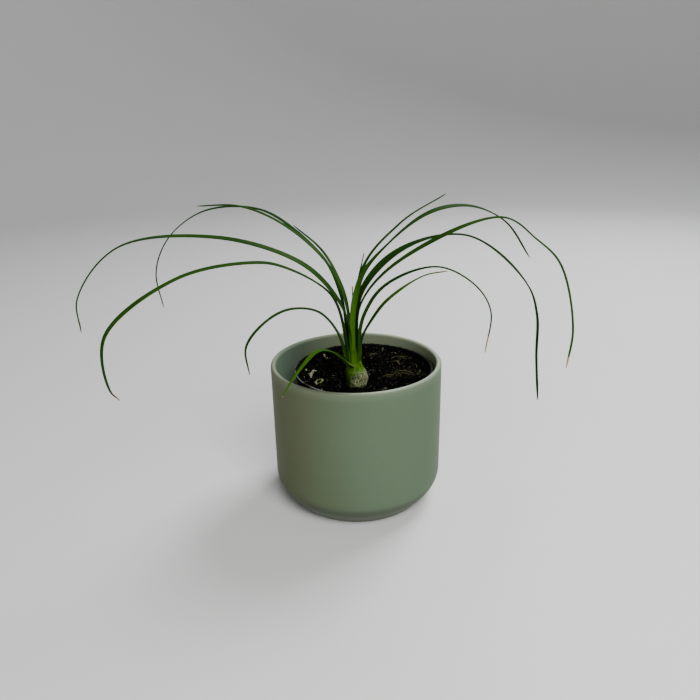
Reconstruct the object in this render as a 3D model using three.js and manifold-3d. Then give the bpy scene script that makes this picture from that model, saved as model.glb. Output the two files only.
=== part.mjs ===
// A young ponytail palm in a thin nursery pot of soil, standing inside a glazed ceramic cover pot.
// Millimetres, +Z up, the underside of the cover pot rests on Z = 0 and is centred on the origin.
import * as THREE from 'three';
import { mergeVertices } from 'three/addons/utils/BufferGeometryUtils.js';
import Module from 'manifold-3d';

const wasm = await Module();
wasm.setup();

// ---- Cover pot -----------------------------------------------------------------------------
const POT_RADIUS = 60;
const POT_HEIGHT = 102;
const POT_FOOT_RADIUS = 48.3;
const POT_SHOULDER_Z = 15;
const POT_SHOULDER_ROUND = 8;
const POT_WALL = 3.8;
const POT_FLOOR = 5;
const POT_FOOT_ROUND = 1.2;
const POT_SEGMENTS = 72;
const LIP_STEPS = 8;
const FOOT_STEPS = 3;
const SHOULDER_STEPS = 6;
const INNER_SHOULDER_STEPS = 4;

// ---- Nursery pot ---------------------------------------------------------------------------
const LINER_X = 5.2;
const LINER_Y = -1;
const LINER_RIM_RADIUS = 48.6;
const LINER_RIM_Z = 96.5;
const LINER_BEAD_HEIGHT = 2.6;
const LINER_BEAD_DEPTH = 0.8;
const LINER_FOOT_RADIUS = 37;
const LINER_WALL = 1;
const LINER_FLOOR = 1.4;
const LINER_FOOT_BEVEL = 1;
const LINER_BEAD_BEVEL = 0.4;
const LINER_SEGMENTS = 56;
const DRAIN_COUNT = 6;
const DRAIN_RADIUS = 4;
const DRAIN_CIRCLE = 24;
const DRAIN_SEGMENTS = 20;

// ---- Fits ----------------------------------------------------------------------------------
const SEAT_GAP = 0.3;
const CUT_MARGIN = 1;
const WELD_TOLERANCE = 1e-4;

// ---- Soil ----------------------------------------------------------------------------------
const SOIL_LEVEL = 93.2;
const SOIL_SLOPE = 0.045;
const SOIL_RELIEF = 0.9;
const SOIL_CRUMB_SIZE = 5.5;
const SOIL_RINGS = 12;
const SOIL_SEGMENTS = 60;
const SOCKET_BURIED = 3;
const SOCKET_ABOVE = 8;
const NOISE_X = 127.1;
const NOISE_Y = 311.7;
const NOISE_GAIN = 43758.5453;

// ---- Caudex --------------------------------------------------------------------------------
const CROWN_X = -1.2;
const CROWN_Y = -20;
const BULB_OFFSET_X = 1.4;
const BULB_LEAN_TOP_Z = 107;
const BULB_LEAN_SPAN = 9.5;
const CAUDEX_SEGMENTS = 28;
const CAUDEX_LUMPS = 0.18;
const LUMPS_WIDE = 3;
const LUMPS_FINE = 5;
const LUMPS_DRIFT = 0.7;
// Radius and height, from the cut root up over the corky bulb and the green neck.
const CAUDEX_PROFILE = [
  [1.4, 71.5], [2.2, 77], [3.8, 83], [5.6, 88], [6.7, 91.5], [7.3, 94.5], [7.5, 97.5],
  [7.25, 100], [6.8, 102.2], [6.5, 103], [5.75, 104.2], [5.5, 106], [5.0, 107.6],
  [4.2, 109.2], [3.4, 110.6], [2.4, 112], [1.4, 113],
];
const CAUDEX_TIP_Z = 113.8;
const CAUDEX_BULB_RINGS = 8;

// ---- Leaves --------------------------------------------------------------------------------
const LEAF_THICKNESS = 0.62;
const LEAF_ACROSS = [-1, -1 / 3, 1 / 3, 1];
const LEAF_LONG_STATIONS = 30;
const LEAF_SHORT_STATIONS = 18;
const LEAF_LONG = 120;
const FOOT_SPAN = 12;
const WIDEN_START = 15;
const WIDEN_SPAN = 60;
const TURN_SPAN = 35;
const OPEN_SPAN = 25;
const CHANNEL_RADIUS = 1.1;
const TAPER_START = 0.35;
const POINT_SPAN = 14;
const POINT_BLUNT = 2;
const POINT_POWER = 0.6;
const LEAF_TIP_WIDTH = 0.9;
const CURVE_DIVISIONS = 400;

// Each leaf leaves the crown at footRadius in the direction foot (degrees, 0 along +X) and then
// runs in an upright plane along heading; curve lists its reach and height from the foot on.
// roll turns the blade about its own length, in degrees, at even steps from foot to tip; widths
// are those of the foot, the throat above it and the blade.
const LEAVES = [
  { name: 'leaf_left_1', foot: 112, footRadius: 3.05, heading: 142, footZ: 111.8,
    widths: [2.4, 2.4, 3.5], taper: 0.45, roll: [0, 17, 6, -17, -17, -35],
    curve: [[6.5, 152.5], [17.5, 171], [48, 192.5], [80.5, 203.5], [141.5, 197], [189.5, 169.5],
      [208.5, 139.5], [203.5, 111]] },
  { name: 'leaf_left_2', foot: 167, footRadius: 3.05, heading: 155, footZ: 111.8,
    widths: [2.4, 2.4, 2.9], taper: 0.52, roll: [0, 6, 8, 0, -10, -15],
    curve: [[2, 147], [12, 170.5], [30, 188], [56.5, 202.5], [81.5, 208.5], [114, 207]] },
  { name: 'leaf_left_3', foot: 113, footRadius: 2.05, heading: 116, footZ: 113,
    widths: [2.2, 2, 2.3], taper: 0.49, roll: [0, 21, 18, 4, 0, 0],
    curve: [[7.5, 151.5], [40.5, 173.5], [98, 185.5]] },
  { name: 'leaf_left_4', foot: 224, footRadius: 3.05, heading: 193, footZ: 111.8,
    widths: [2.5, 2.5, 5.2], taper: 0.47, roll: [0, -30, -16, -9, 5, -11],
    curve: [[1, 136], [11.5, 157], [31.5, 179], [80, 197.5], [137.5, 195.5], [164, 167],
      [165, 146]] },
  { name: 'leaf_left_5', foot: 213, footRadius: 5.3, heading: 202, footZ: 107.9,
    widths: [4.6, 3, 4.9], taper: 0.53, roll: [0, 2, -4, -6, -18, -6],
    curve: [[-0.5, 126], [11, 157], [41, 178.5], [60, 183], [104.5, 178.5], [148, 150],
      [150, 116.5], [145.5, 109.5]] },
  { name: 'leaf_left_6', foot: 148, footRadius: 5.3, heading: 175, footZ: 107.9,
    widths: [4.6, 2.6, 4], taper: 0.53, roll: [0, 0, 4, -14, -28, -32],
    curve: [[6, 128], [19, 142.5], [38, 144], [55.5, 134.5], [69.5, 116.5], [68.5, 96.5]] },
  { name: 'leaf_left_7', foot: 250, footRadius: 6.35, heading: 234, footZ: 104.2,
    widths: [7, 3, 4], taper: 0.43, roll: [0, -7, -5, -8, 0, 0],
    curve: [[3.5, 109.5], [22, 125], [37, 129], [63, 116.5], [69, 111.5]] },
  { name: 'leaf_right_1', foot: 31, footRadius: 2.05, heading: 52, footZ: 113,
    widths: [2.2, 2.2, 2.8], taper: 0.49, roll: [0, -20, -18, -12, -10, -6],
    curve: [[6.5, 168.5], [50.5, 193], [114, 206.5]] },
  { name: 'leaf_right_2', foot: -75, footRadius: 3.05, heading: 29, footZ: 111.8,
    widths: [2.6, 2.4, 4.2], taper: 0.58, roll: [0, -8, -5, 17, 11, 13],
    curve: [[3, 154.5], [10.5, 172.5], [54, 201.5], [90, 204.5], [124.5, 190.5], [151, 161]] },
  { name: 'leaf_right_3', foot: 59, footRadius: 3.05, heading: 17, footZ: 111.8,
    widths: [2.5, 2.5, 5.9], taper: 0.47, roll: [0, 26, -9, 27, 18, 30],
    curve: [[5.5, 157.5], [32, 181.5], [79.5, 187], [127.5, 149.5], [138, 125], [140.5, 92],
      [145, 55.5]] },
  { name: 'leaf_right_4', foot: -21, footRadius: 3.05, heading: -10, footZ: 111.8,
    widths: [2.4, 2.4, 4], taper: 0.48, roll: [0, 13, 27, -7, 13, 30],
    curve: [[3, 150], [26.5, 177.5], [88.5, 205.5], [109.5, 192.5], [124.5, 177.5], [135.5, 137.5],
      [134, 110.5]] },
  { name: 'leaf_right_5', foot: -34, footRadius: 5.3, heading: -20, footZ: 107.9,
    widths: [4.6, 2.8, 4], taper: 0.5, roll: [0, -26, -24, -13, -15, -2],
    curve: [[3, 142], [17, 163], [50, 177], [73, 167.5], [83.5, 152], [81.5, 124.5]] },
  { name: 'leaf_right_6', foot: 38, footRadius: 5.3, heading: 4, footZ: 107.9,
    widths: [4.6, 2.6, 3.6], taper: 0.46, roll: [0, -1, 19, 17, -8, -1],
    curve: [[3, 126], [12.5, 143], [22.5, 153], [42.5, 165], [58, 167.5]] },
  { name: 'leaf_right_7', foot: 128, footRadius: 1.05, heading: 72, footZ: 113.7,
    widths: [1.6, 1.5, 2], taper: 0.45, roll: [0, 0, 0, 0, 0, 0],
    curve: [[2, 139.5], [12, 158.5], [28, 176]] },
  { name: 'leaf_centre', foot: 238, footRadius: 1.05, heading: 81, footZ: 113.7,
    widths: [1.4, 1.3, 1.5], taper: 0.5, roll: [0, 0, 0, 0, 0, 0],
    curve: [[1, 137], [1, 160.5]] },
];

// ---- Colours -------------------------------------------------------------------------------
const SAGE = 0x7f9274;
const BLACK_PLASTIC = 0x1d1e1c;
const POTTING_MIX = 0x1c1713;
const CORK = 0x77703f;
const LEAF_GREEN = 0x2f5417;

const radians = THREE.MathUtils.degToRad;
const ramp = (value) => {
  const t = Math.min(Math.max(value, 0), 1);
  return t * t * (3 - 2 * t);
};

/** Turns a list of points and triangles into a geometry. */
function geometryFrom(points, triangles) {
  const geometry = new THREE.BufferGeometry();
  geometry.setAttribute('position', new THREE.Float32BufferAttribute(points.flat(), 3));
  geometry.setIndex(triangles.flat());
  return geometry;
}

/** Revolves a profile of [radius, height] that starts and ends on the axis. */
function revolve(profile, segments, x = 0, y = 0) {
  const outline = profile.map(([r, z]) => new THREE.Vector2(r, z));
  const geometry = new THREE.LatheGeometry(outline, segments);
  geometry.rotateX(Math.PI / 2);
  geometry.translate(x, y, 0);
  return geometry;
}

/** Closes a stack of equal rings, lowest first, with a point below and a point above. */
function stackedRings(bottom, rings, top) {
  const count = rings[0].length;
  const points = [bottom, ...rings.flat(), top];
  const last = points.length - 1;
  const at = (ring, i) => 1 + ring * count + (i % count);
  const triangles = [];
  for (let i = 0; i < count; i += 1) {
    triangles.push([0, at(0, i + 1), at(0, i)]);
    for (let ring = 0; ring < rings.length - 1; ring += 1) {
      triangles.push([at(ring, i), at(ring, i + 1), at(ring + 1, i + 1)]);
      triangles.push([at(ring, i), at(ring + 1, i + 1), at(ring + 1, i)]);
    }
    triangles.push([last, at(rings.length - 1, i), at(rings.length - 1, i + 1)]);
  }
  return geometryFrom(points, triangles);
}

/** Hands a closed geometry to the solid kernel. */
function toSolid(geometry) {
  const bare = geometry.clone();
  bare.deleteAttribute('normal');
  bare.deleteAttribute('uv');
  const welded = mergeVertices(bare, WELD_TOLERANCE);
  return new wasm.Manifold(new wasm.Mesh({
    numProp: 3,
    vertProperties: new Float32Array(welded.attributes.position.array),
    triVerts: new Uint32Array(welded.index.array),
  }));
}

/** Brings a solid back as a geometry. */
function toGeometry(solid) {
  const mesh = solid.getMesh();
  const geometry = new THREE.BufferGeometry();
  geometry.setAttribute('position', new THREE.BufferAttribute(mesh.vertProperties, 3));
  geometry.setIndex(new THREE.BufferAttribute(mesh.triVerts, 1));
  return geometry;
}

/** Points of a rounded corner between three outline points, each leg cut back by size. */
function roundedCorner(before, corner, after, size, steps) {
  const [a, b, c] = [before, corner, after].map(([r, z]) => new THREE.Vector2(r, z));
  const start = b.clone().add(a.clone().sub(b).setLength(size));
  const end = b.clone().add(c.clone().sub(b).setLength(size));
  const curve = new THREE.QuadraticBezierCurve(start, b, end);
  return curve.getPoints(steps).map((point) => [point.x, point.y]);
}

function ceramicPot() {
  const inner = POT_RADIUS - POT_WALL;
  const lip = POT_WALL / 2;
  const foot = [POT_FOOT_RADIUS, 0];
  const shoulder = [POT_RADIUS, POT_SHOULDER_Z];
  const lipCentre = [POT_RADIUS - lip, POT_HEIGHT - lip];
  const lipPoints = [];
  for (let step = 0; step <= LIP_STEPS; step += 1) {
    const angle = (Math.PI * step) / LIP_STEPS;
    lipPoints.push([lipCentre[0] + lip * Math.cos(angle), lipCentre[1] + lip * Math.sin(angle)]);
  }
  return revolve([
    [0, 0],
    ...roundedCorner([0, 0], foot, shoulder, POT_FOOT_ROUND, FOOT_STEPS),
    ...roundedCorner(foot, shoulder, [POT_RADIUS, POT_HEIGHT], POT_SHOULDER_ROUND, SHOULDER_STEPS),
    ...lipPoints,
    ...roundedCorner([inner, POT_HEIGHT], [inner, POT_SHOULDER_Z], [POT_FOOT_RADIUS, POT_FLOOR],
      POT_SHOULDER_ROUND, INNER_SHOULDER_STEPS),
    [POT_FOOT_RADIUS - POT_WALL, POT_FLOOR],
    [0, POT_FLOOR],
  ], POT_SEGMENTS);
}

/** Inner radius of the nursery pot at a height. */
function linerInside(z) {
  const bottom = POT_FLOOR + SEAT_GAP;
  const share = (z - bottom) / (LINER_RIM_Z - bottom);
  const outer = LINER_FOOT_RADIUS + (LINER_RIM_RADIUS - LINER_BEAD_DEPTH - LINER_FOOT_RADIUS) * share;
  return outer - LINER_WALL;
}

function nurseryPot() {
  const bottom = POT_FLOOR + SEAT_GAP;
  const floor = bottom + LINER_FLOOR;
  const beadZ = LINER_RIM_Z - LINER_BEAD_HEIGHT;
  const outside = (z) => linerInside(z) + LINER_WALL;
  const heel = bottom + LINER_FOOT_BEVEL;
  const beadTop = LINER_RIM_Z - LINER_BEAD_BEVEL;
  const shell = revolve([
    [0, bottom], [LINER_FOOT_RADIUS - LINER_FOOT_BEVEL, bottom], [outside(heel), heel],
    [outside(beadZ), beadZ], [LINER_RIM_RADIUS, beadZ + LINER_BEAD_BEVEL], [LINER_RIM_RADIUS, beadTop],
    [LINER_RIM_RADIUS - LINER_BEAD_BEVEL, LINER_RIM_Z],
    [linerInside(LINER_RIM_Z) + LINER_BEAD_BEVEL, LINER_RIM_Z], [linerInside(LINER_RIM_Z), beadTop],
    [linerInside(floor), floor], [0, floor],
  ], LINER_SEGMENTS);
  let pot = toSolid(shell);
  for (let hole = 0; hole < DRAIN_COUNT; hole += 1) {
    const angle = (2 * Math.PI * hole) / DRAIN_COUNT;
    const [low, high] = [bottom - CUT_MARGIN, floor + CUT_MARGIN];
    const cutter = revolve([[0, low], [DRAIN_RADIUS, low], [DRAIN_RADIUS, high], [0, high]],
      DRAIN_SEGMENTS, DRAIN_CIRCLE * Math.cos(angle), DRAIN_CIRCLE * Math.sin(angle));
    pot = pot.subtract(toSolid(cutter));
  }
  const geometry = toGeometry(pot);
  geometry.translate(LINER_X, LINER_Y, 0);
  return geometry;
}

/** Repeatable value between 0 and 1 for a grid corner. */
function cornerValue(i, j) {
  const wave = Math.sin(i * NOISE_X + j * NOISE_Y) * NOISE_GAIN;
  return wave - Math.floor(wave);
}

/** Smooth crumb relief between -1 and 1. */
function crumbs(x, y) {
  const u = x / SOIL_CRUMB_SIZE;
  const v = y / SOIL_CRUMB_SIZE;
  const [i, j] = [Math.floor(u), Math.floor(v)];
  const [s, t] = [ramp(u - i), ramp(v - j)];
  const near = cornerValue(i, j) * (1 - s) + cornerValue(i + 1, j) * s;
  const far = cornerValue(i, j + 1) * (1 - s) + cornerValue(i + 1, j + 1) * s;
  return 2 * (near * (1 - t) + far * t) - 1;
}

/** Centre of the caudex at a height: the neck leans away from the bulb. */
function caudexX(z) {
  return CROWN_X + BULB_OFFSET_X * ramp((BULB_LEAN_TOP_Z - z) / BULB_LEAN_SPAN);
}

/** Rings of the caudex, grown outward by margin. */
function caudexRings(profile, margin, lumps) {
  return profile.map(([radius, z]) => {
    const ring = [];
    for (let i = 0; i < CAUDEX_SEGMENTS; i += 1) {
      const angle = (2 * Math.PI * i) / CAUDEX_SEGMENTS;
      const wide = Math.sin(LUMPS_WIDE * angle + z);
      const fine = Math.sin(LUMPS_FINE * angle - LUMPS_DRIFT * z);
      const r = radius + margin + lumps * (wide + fine) / 2;
      ring.push([caudexX(z) + r * Math.cos(angle), CROWN_Y + r * Math.sin(angle), z]);
    }
    return ring;
  });
}

function caudex() {
  const bulb = caudexRings(CAUDEX_PROFILE.slice(0, CAUDEX_BULB_RINGS), 0, CAUDEX_LUMPS);
  const neck = caudexRings(CAUDEX_PROFILE.slice(CAUDEX_BULB_RINGS), 0, 0);
  const root = CAUDEX_PROFILE[0][1];
  return stackedRings([caudexX(root), CROWN_Y, root], [...bulb, ...neck],
    [CROWN_X, CROWN_Y, CAUDEX_TIP_Z]);
}

function soil() {
  const bottom = POT_FLOOR + SEAT_GAP + LINER_FLOOR + SEAT_GAP;
  const edge = linerInside(SOIL_LEVEL - SOIL_SLOPE * LINER_RIM_RADIUS) - SEAT_GAP;
  const ringAt = (radius, height) => {
    const ring = [];
    for (let i = 0; i < SOIL_SEGMENTS; i += 1) {
      const angle = (2 * Math.PI * i) / SOIL_SEGMENTS;
      const [x, y] = [radius * Math.cos(angle), radius * Math.sin(angle)];
      ring.push([x + LINER_X, y + LINER_Y, height(x, y)]);
    }
    return ring;
  };
  const surface = (x, y) => SOIL_LEVEL + SOIL_SLOPE * y + SOIL_RELIEF * crumbs(x, y);
  const rings = [ringAt(linerInside(bottom) - SEAT_GAP, () => bottom)];
  for (let ring = 0; ring < SOIL_RINGS; ring += 1) {
    rings.push(ringAt(edge * (1 - ring / SOIL_RINGS), surface));
  }
  const bed = toSolid(stackedRings([LINER_X, LINER_Y, bottom], rings,
    [LINER_X, LINER_Y, surface(0, 0)]));
  const buried = CAUDEX_PROFILE.filter(([, z]) => z < SOIL_LEVEL + SOCKET_BURIED);
  const open = SOIL_LEVEL + SOCKET_ABOVE;
  const margin = SEAT_GAP + CAUDEX_LUMPS;
  const lowest = buried[0][1] - SEAT_GAP;
  const widest = buried[buried.length - 1][0];
  const socket = toSolid(stackedRings([caudexX(lowest), CROWN_Y, lowest],
    caudexRings([[buried[0][0], lowest], ...buried.slice(1), [widest, open]], margin, 0),
    [caudexX(lowest), CROWN_Y, open]));
  return toGeometry(bed.subtract(socket));
}

/** Width of a leaf at a distance from its foot. */
function leafWidth(leaf, distance, length) {
  const [foot, throat, blade] = leaf.widths;
  const share = distance / length;
  const wide = foot + (throat - foot) * ramp(distance / FOOT_SPAN)
    + (blade - throat) * ramp((distance - WIDEN_START) / WIDEN_SPAN);
  const taper = 1 - (1 - leaf.taper) * ramp((share - TAPER_START) / (1 - TAPER_START));
  const point = Math.min(Math.max((length - distance + POINT_BLUNT) / POINT_SPAN, 0), 1);
  return Math.max(wide * taper * point ** POINT_POWER, LEAF_TIP_WIDTH);
}

/** Roll of the blade in radians at a share of its length. */
function leafRoll(leaf, share) {
  const place = share * (leaf.roll.length - 1);
  const index = Math.min(Math.floor(place), leaf.roll.length - 2);
  const step = leaf.roll[index + 1] - leaf.roll[index];
  return radians(leaf.roll[index] + step * ramp(place - index));
}

/** One section across a leaf: the lower face from edge to edge, then the upper face back. */
function leafSection(leaf, curve, share, length) {
  const distance = share * length;
  const heading = radians(leaf.heading);
  const foot = radians(leaf.foot);
  const place = curve.getPointAt(share);
  const slope = curve.getTangentAt(share);
  const centre = new THREE.Vector3(
    CROWN_X + leaf.footRadius * Math.cos(foot) + place.x * Math.cos(heading),
    CROWN_Y + leaf.footRadius * Math.sin(foot) + place.x * Math.sin(heading),
    place.y,
  );
  const along = new THREE.Vector3(slope.x * Math.cos(heading), slope.x * Math.sin(heading), slope.y);
  const turn = THREE.MathUtils.euclideanModulo(leaf.heading - leaf.foot + 180, 360) - 180;
  const facing = radians(leaf.foot + turn * ramp(distance / TURN_SPAN));
  const level = new THREE.Vector3(-Math.sin(facing), Math.cos(facing), 0);
  level.addScaledVector(along, -level.dot(along)).normalize();
  const raised = new THREE.Vector3().crossVectors(along, level);
  const roll = leafRoll(leaf, share);
  const side = level.clone().multiplyScalar(Math.cos(roll)).addScaledVector(raised, Math.sin(roll));
  const inward = raised.clone().multiplyScalar(Math.cos(roll))
    .addScaledVector(level, -Math.sin(roll));

  const open = ramp(distance / OPEN_SPAN);
  const tight = 1 / leaf.footRadius;
  const shallow = 1 / (CHANNEL_RADIUS * leaf.widths[2]);
  const radius = 1 / (tight + (shallow - tight) * open);
  const half = leafWidth(leaf, distance, length) / 2;
  const sink = radius * (1 - Math.cos(half / radius)) * open / 2;
  const faces = [LEAF_THICKNESS / 2, -LEAF_THICKNESS / 2].map((offset) => LEAF_ACROSS.map((v) => {
    const angle = (v * half) / radius;
    const reach = radius + offset;
    return centre.clone()
      .addScaledVector(side, reach * Math.sin(angle))
      .addScaledVector(inward, radius - reach * Math.cos(angle) - sink)
      .toArray();
  }));
  return [...faces[0], ...faces[1].reverse()];
}

function leafBlade(leaf) {
  const outline = [[0, leaf.footZ], ...leaf.curve].map(([r, z]) => new THREE.Vector3(r, z, 0));
  const curve = new THREE.CatmullRomCurve3(outline);
  curve.arcLengthDivisions = CURVE_DIVISIONS;
  const length = curve.getLength();
  const stations = length > LEAF_LONG ? LEAF_LONG_STATIONS : LEAF_SHORT_STATIONS;
  const points = [];
  for (let station = 0; station <= stations; station += 1) {
    points.push(...leafSection(leaf, curve, station / stations, length));
  }
  const across = LEAF_ACROSS.length;
  const count = 2 * across;
  const at = (station, i) => station * count + (i % count);
  const triangles = [];
  for (let station = 0; station < stations; station += 1) {
    for (let i = 0; i < count; i += 1) {
      const [a, b] = [at(station, i), at(station, i + 1)];
      const [c, d] = [at(station + 1, i + 1), at(station + 1, i)];
      if (i < across) triangles.push([a, b, c], [a, c, d]);
      else triangles.push([a, b, d], [b, c, d]);
    }
  }
  for (let i = 0; i < across - 1; i += 1) {
    const [a, b, c, d] = [i, i + 1, count - 2 - i, count - 1 - i];
    triangles.push([at(0, a), at(0, c), at(0, b)], [at(0, a), at(0, d), at(0, c)]);
    triangles.push([at(stations, a), at(stations, b), at(stations, c)]);
    triangles.push([at(stations, a), at(stations, c), at(stations, d)]);
  }
  return geometryFrom(points, triangles);
}

const part = new THREE.Group();
part.name = 'potted_ponytail_palm';

function addPiece(name, geometry, material, color, roughness) {
  const look = new THREE.MeshStandardMaterial({ name: material, color, roughness, metalness: 0 });
  const mesh = new THREE.Mesh(geometry, look);
  mesh.name = name;
  part.add(mesh);
}

addPiece('ceramic_pot', ceramicPot(), 'sage_glaze', SAGE, 0.45);
addPiece('nursery_pot', nurseryPot(), 'black_plastic', BLACK_PLASTIC, 0.5);
addPiece('soil', soil(), 'potting_mix', POTTING_MIX, 0.95);
addPiece('caudex', caudex(), 'cork_and_neck', CORK, 0.8);
for (const leaf of LEAVES) {
  addPiece(leaf.name, leafBlade(leaf), 'leaf_green', LEAF_GREEN, 0.4);
}

export default part;
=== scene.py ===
"""Dresses a potted ponytail palm: glazed cover pot, nursery pot, potting mix, swollen base, leaves.

Sizes and places are in millimetres, +Z up, with the cover pot standing on Z = 0 round the origin.
They become metres only where a mesh, a light or the camera is made.
"""
from __future__ import annotations

import logging
import math
from dataclasses import dataclass, field
from enum import Enum
from typing import Any, Union

import bpy
import numpy as np
from mathutils import Matrix, Vector

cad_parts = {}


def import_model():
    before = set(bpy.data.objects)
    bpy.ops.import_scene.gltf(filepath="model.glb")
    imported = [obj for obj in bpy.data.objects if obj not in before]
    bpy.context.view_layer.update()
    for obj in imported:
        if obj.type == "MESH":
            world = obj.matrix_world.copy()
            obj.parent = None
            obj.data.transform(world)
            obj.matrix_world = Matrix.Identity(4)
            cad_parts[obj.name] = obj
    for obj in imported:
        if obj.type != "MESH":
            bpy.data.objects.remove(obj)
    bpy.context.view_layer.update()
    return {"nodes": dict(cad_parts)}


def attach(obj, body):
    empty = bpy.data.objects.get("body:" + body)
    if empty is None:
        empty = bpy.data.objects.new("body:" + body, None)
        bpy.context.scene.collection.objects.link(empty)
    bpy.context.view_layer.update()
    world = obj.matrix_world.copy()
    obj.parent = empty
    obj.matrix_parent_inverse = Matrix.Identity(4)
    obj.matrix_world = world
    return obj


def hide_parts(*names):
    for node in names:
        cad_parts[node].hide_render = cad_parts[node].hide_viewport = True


MM = 0.001
LOG = logging.getLogger("potted_palm")
Colour = tuple[float, float, float]
Point = tuple[float, float, float]
Span = tuple[float, float]
Skew = tuple[float, float, int]
Grain = tuple[float, int, float, int]
UP = np.array([0.0, 0.0, 1.0])


# ---- Small mathematics ---------------------------------------------------------------------------
def ramp(value: np.ndarray | float) -> np.ndarray:
    """A smooth step: 0 below 0, 1 above 1, and three squares less two cubes between.

    Args:
        value: The place on the step.

    Returns:
        The height of the step there.
    """
    t = np.clip(value, 0.0, 1.0)
    return t * t * (3.0 - 2.0 * t)


def corner_value(i: np.ndarray, j: np.ndarray, seed: float = 0.0) -> np.ndarray:
    """A repeatable value between 0 and 1 for a grid corner: the fraction of a large sine.

    Args:
        i: Corner numbers one way.
        j: Corner numbers the other way.
        seed: Shifts the whole pattern.

    Returns:
        One value for each corner.
    """
    wave = np.sin(i * 127.1 + j * 311.7 + seed * 74.7) * 43758.5453
    return wave - np.floor(wave)


def value_noise(u: np.ndarray, v: np.ndarray, seed: float = 0.0, wrap: int = 0) -> np.ndarray:
    """Smooth noise from -1 to 1: corner values blended by smooth steps across each unit cell.

    Args:
        u: First coordinate, in cells.
        v: Second coordinate, in cells.
        seed: Shifts the pattern.
        wrap: If not 0, the pattern repeats along u after this many cells.

    Returns:
        The noise at each place.
    """
    i, j = np.floor(u), np.floor(v)
    s, t = ramp(u - i), ramp(v - j)
    left, right = (i % wrap, (i + 1) % wrap) if wrap else (i, i + 1)
    near = corner_value(left, j, seed) * (1 - s) + corner_value(right, j, seed) * s
    far = corner_value(left, j + 1, seed) * (1 - s) + corner_value(right, j + 1, seed) * s
    return 2.0 * (near * (1 - t) + far * t) - 1.0


def clod_noise(x: np.ndarray, y: np.ndarray, size: float, seed: float) -> np.ndarray:
    """Rounded lumps: each cell of a grid holds one ball at a jittered centre; the top one shows.

    Args:
        x: First coordinate in millimetres.
        y: Second coordinate in millimetres.
        size: Cell size in millimetres.
        seed: Shifts the pattern.

    Returns:
        The height of the lumps in millimetres, 0 between them.
    """
    i, j = np.floor(x / size), np.floor(y / size)
    height = np.zeros_like(x)
    margin, least, spread = 0.15, 0.25, 0.42
    for step_i in (-1, 0, 1):
        for step_j in (-1, 0, 1):
            a, b = i + step_i, j + step_j
            centre_x = (a + margin + (1 - 2 * margin) * corner_value(a, b, seed)) * size
            centre_y = (b + margin + (1 - 2 * margin) * corner_value(a, b, seed + 1)) * size
            radius = size * (least + spread * corner_value(a, b, seed + 2))
            ball = radius**2 - (x - centre_x) ** 2 - (y - centre_y) ** 2
            height = np.maximum(height, np.sqrt(np.maximum(ball, 0.0)))
    return height


def smooth_curve(points: np.ndarray, samples: int) -> np.ndarray:
    """A centripetal Catmull-Rom curve: cubic pieces whose slopes at each point come from the
    neighbours, weighted by the square roots of the distances.

    Args:
        points: The points that it passes through, one row each.
        samples: How many steps to cut it into.

    Returns:
        The points along the curve, one more than samples.
    """
    ends = np.vstack([2 * points[0] - points[1], points, 2 * points[-1] - points[-2]])
    place = np.linspace(0, len(points) - 1, samples + 1)
    index = np.minimum(place.astype(int), len(points) - 2)
    t = (place - index)[:, None]
    before, start, end, after = (ends[index + k] for k in range(4))

    def gap(a: np.ndarray, b: np.ndarray) -> np.ndarray:
        """The square root of each distance between two rows of points."""
        return np.maximum(np.sum((a - b) ** 2, axis=1) ** 0.25, 1e-4)[:, None]

    g0, g1, g2 = gap(before, start), gap(start, end), gap(end, after)
    slope_in = (start - before) / g0 - (end - before) / (g0 + g1) + (end - start) / g1
    slope_out = (end - start) / g1 - (after - start) / (g1 + g2) + (after - end) / g2
    slope_in, slope_out = slope_in * g1, slope_out * g1
    square = -3 * start + 3 * end - 2 * slope_in - slope_out
    cube = 2 * start - 2 * end + slope_in + slope_out
    return start + slope_in * t + square * t**2 + cube * t**3


def even_steps(points: np.ndarray, samples: int) -> tuple[np.ndarray, np.ndarray]:
    """Walks a chain of points in equal lengths.

    Args:
        points: The chain, one row each.
        samples: How many steps to take.

    Returns:
        The points at equal steps, and the distance walked at each.
    """
    lengths = np.linalg.norm(np.diff(points, axis=0), axis=1)
    walked = np.concatenate([[0.0], np.cumsum(lengths)])
    even = np.linspace(0.0, walked[-1], samples + 1)
    return np.stack([np.interp(even, walked, column) for column in points.T], axis=1), even


def rounded_corner(
    before: Span,
    corner: Span,
    after: Span,
    size: float,
    steps: int,
) -> np.ndarray:
    """A quadratic curve that replaces a corner, each leg cut back by a length.

    Args:
        before: The point that the first leg comes from.
        corner: The corner.
        after: The point that the second leg goes to.
        size: How far each leg is cut back.
        steps: How many steps the curve has.

    Returns:
        The points of the curve.
    """
    a, b, c = (np.array(point, float) for point in (before, corner, after))
    start = b + (a - b) / np.linalg.norm(a - b) * size
    end = b + (c - b) / np.linalg.norm(c - b) * size
    t = np.linspace(0, 1, steps + 1)[:, None]
    return (1 - t) ** 2 * start + 2 * t * (1 - t) * b + t**2 * end


def shifted(span: Span, by: float) -> Span:
    """The span moved along."""
    return span[0] + by, span[1] + by


def unit_rows(rows: np.ndarray) -> np.ndarray:
    """Each row made one long."""
    return rows / np.linalg.norm(rows, axis=1)[:, None]


def turns(count: int) -> np.ndarray:
    """Even turns round a circle from 0, in radians, in one row."""
    return np.linspace(0, 2 * np.pi, count, endpoint=False)[None, :]


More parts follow.
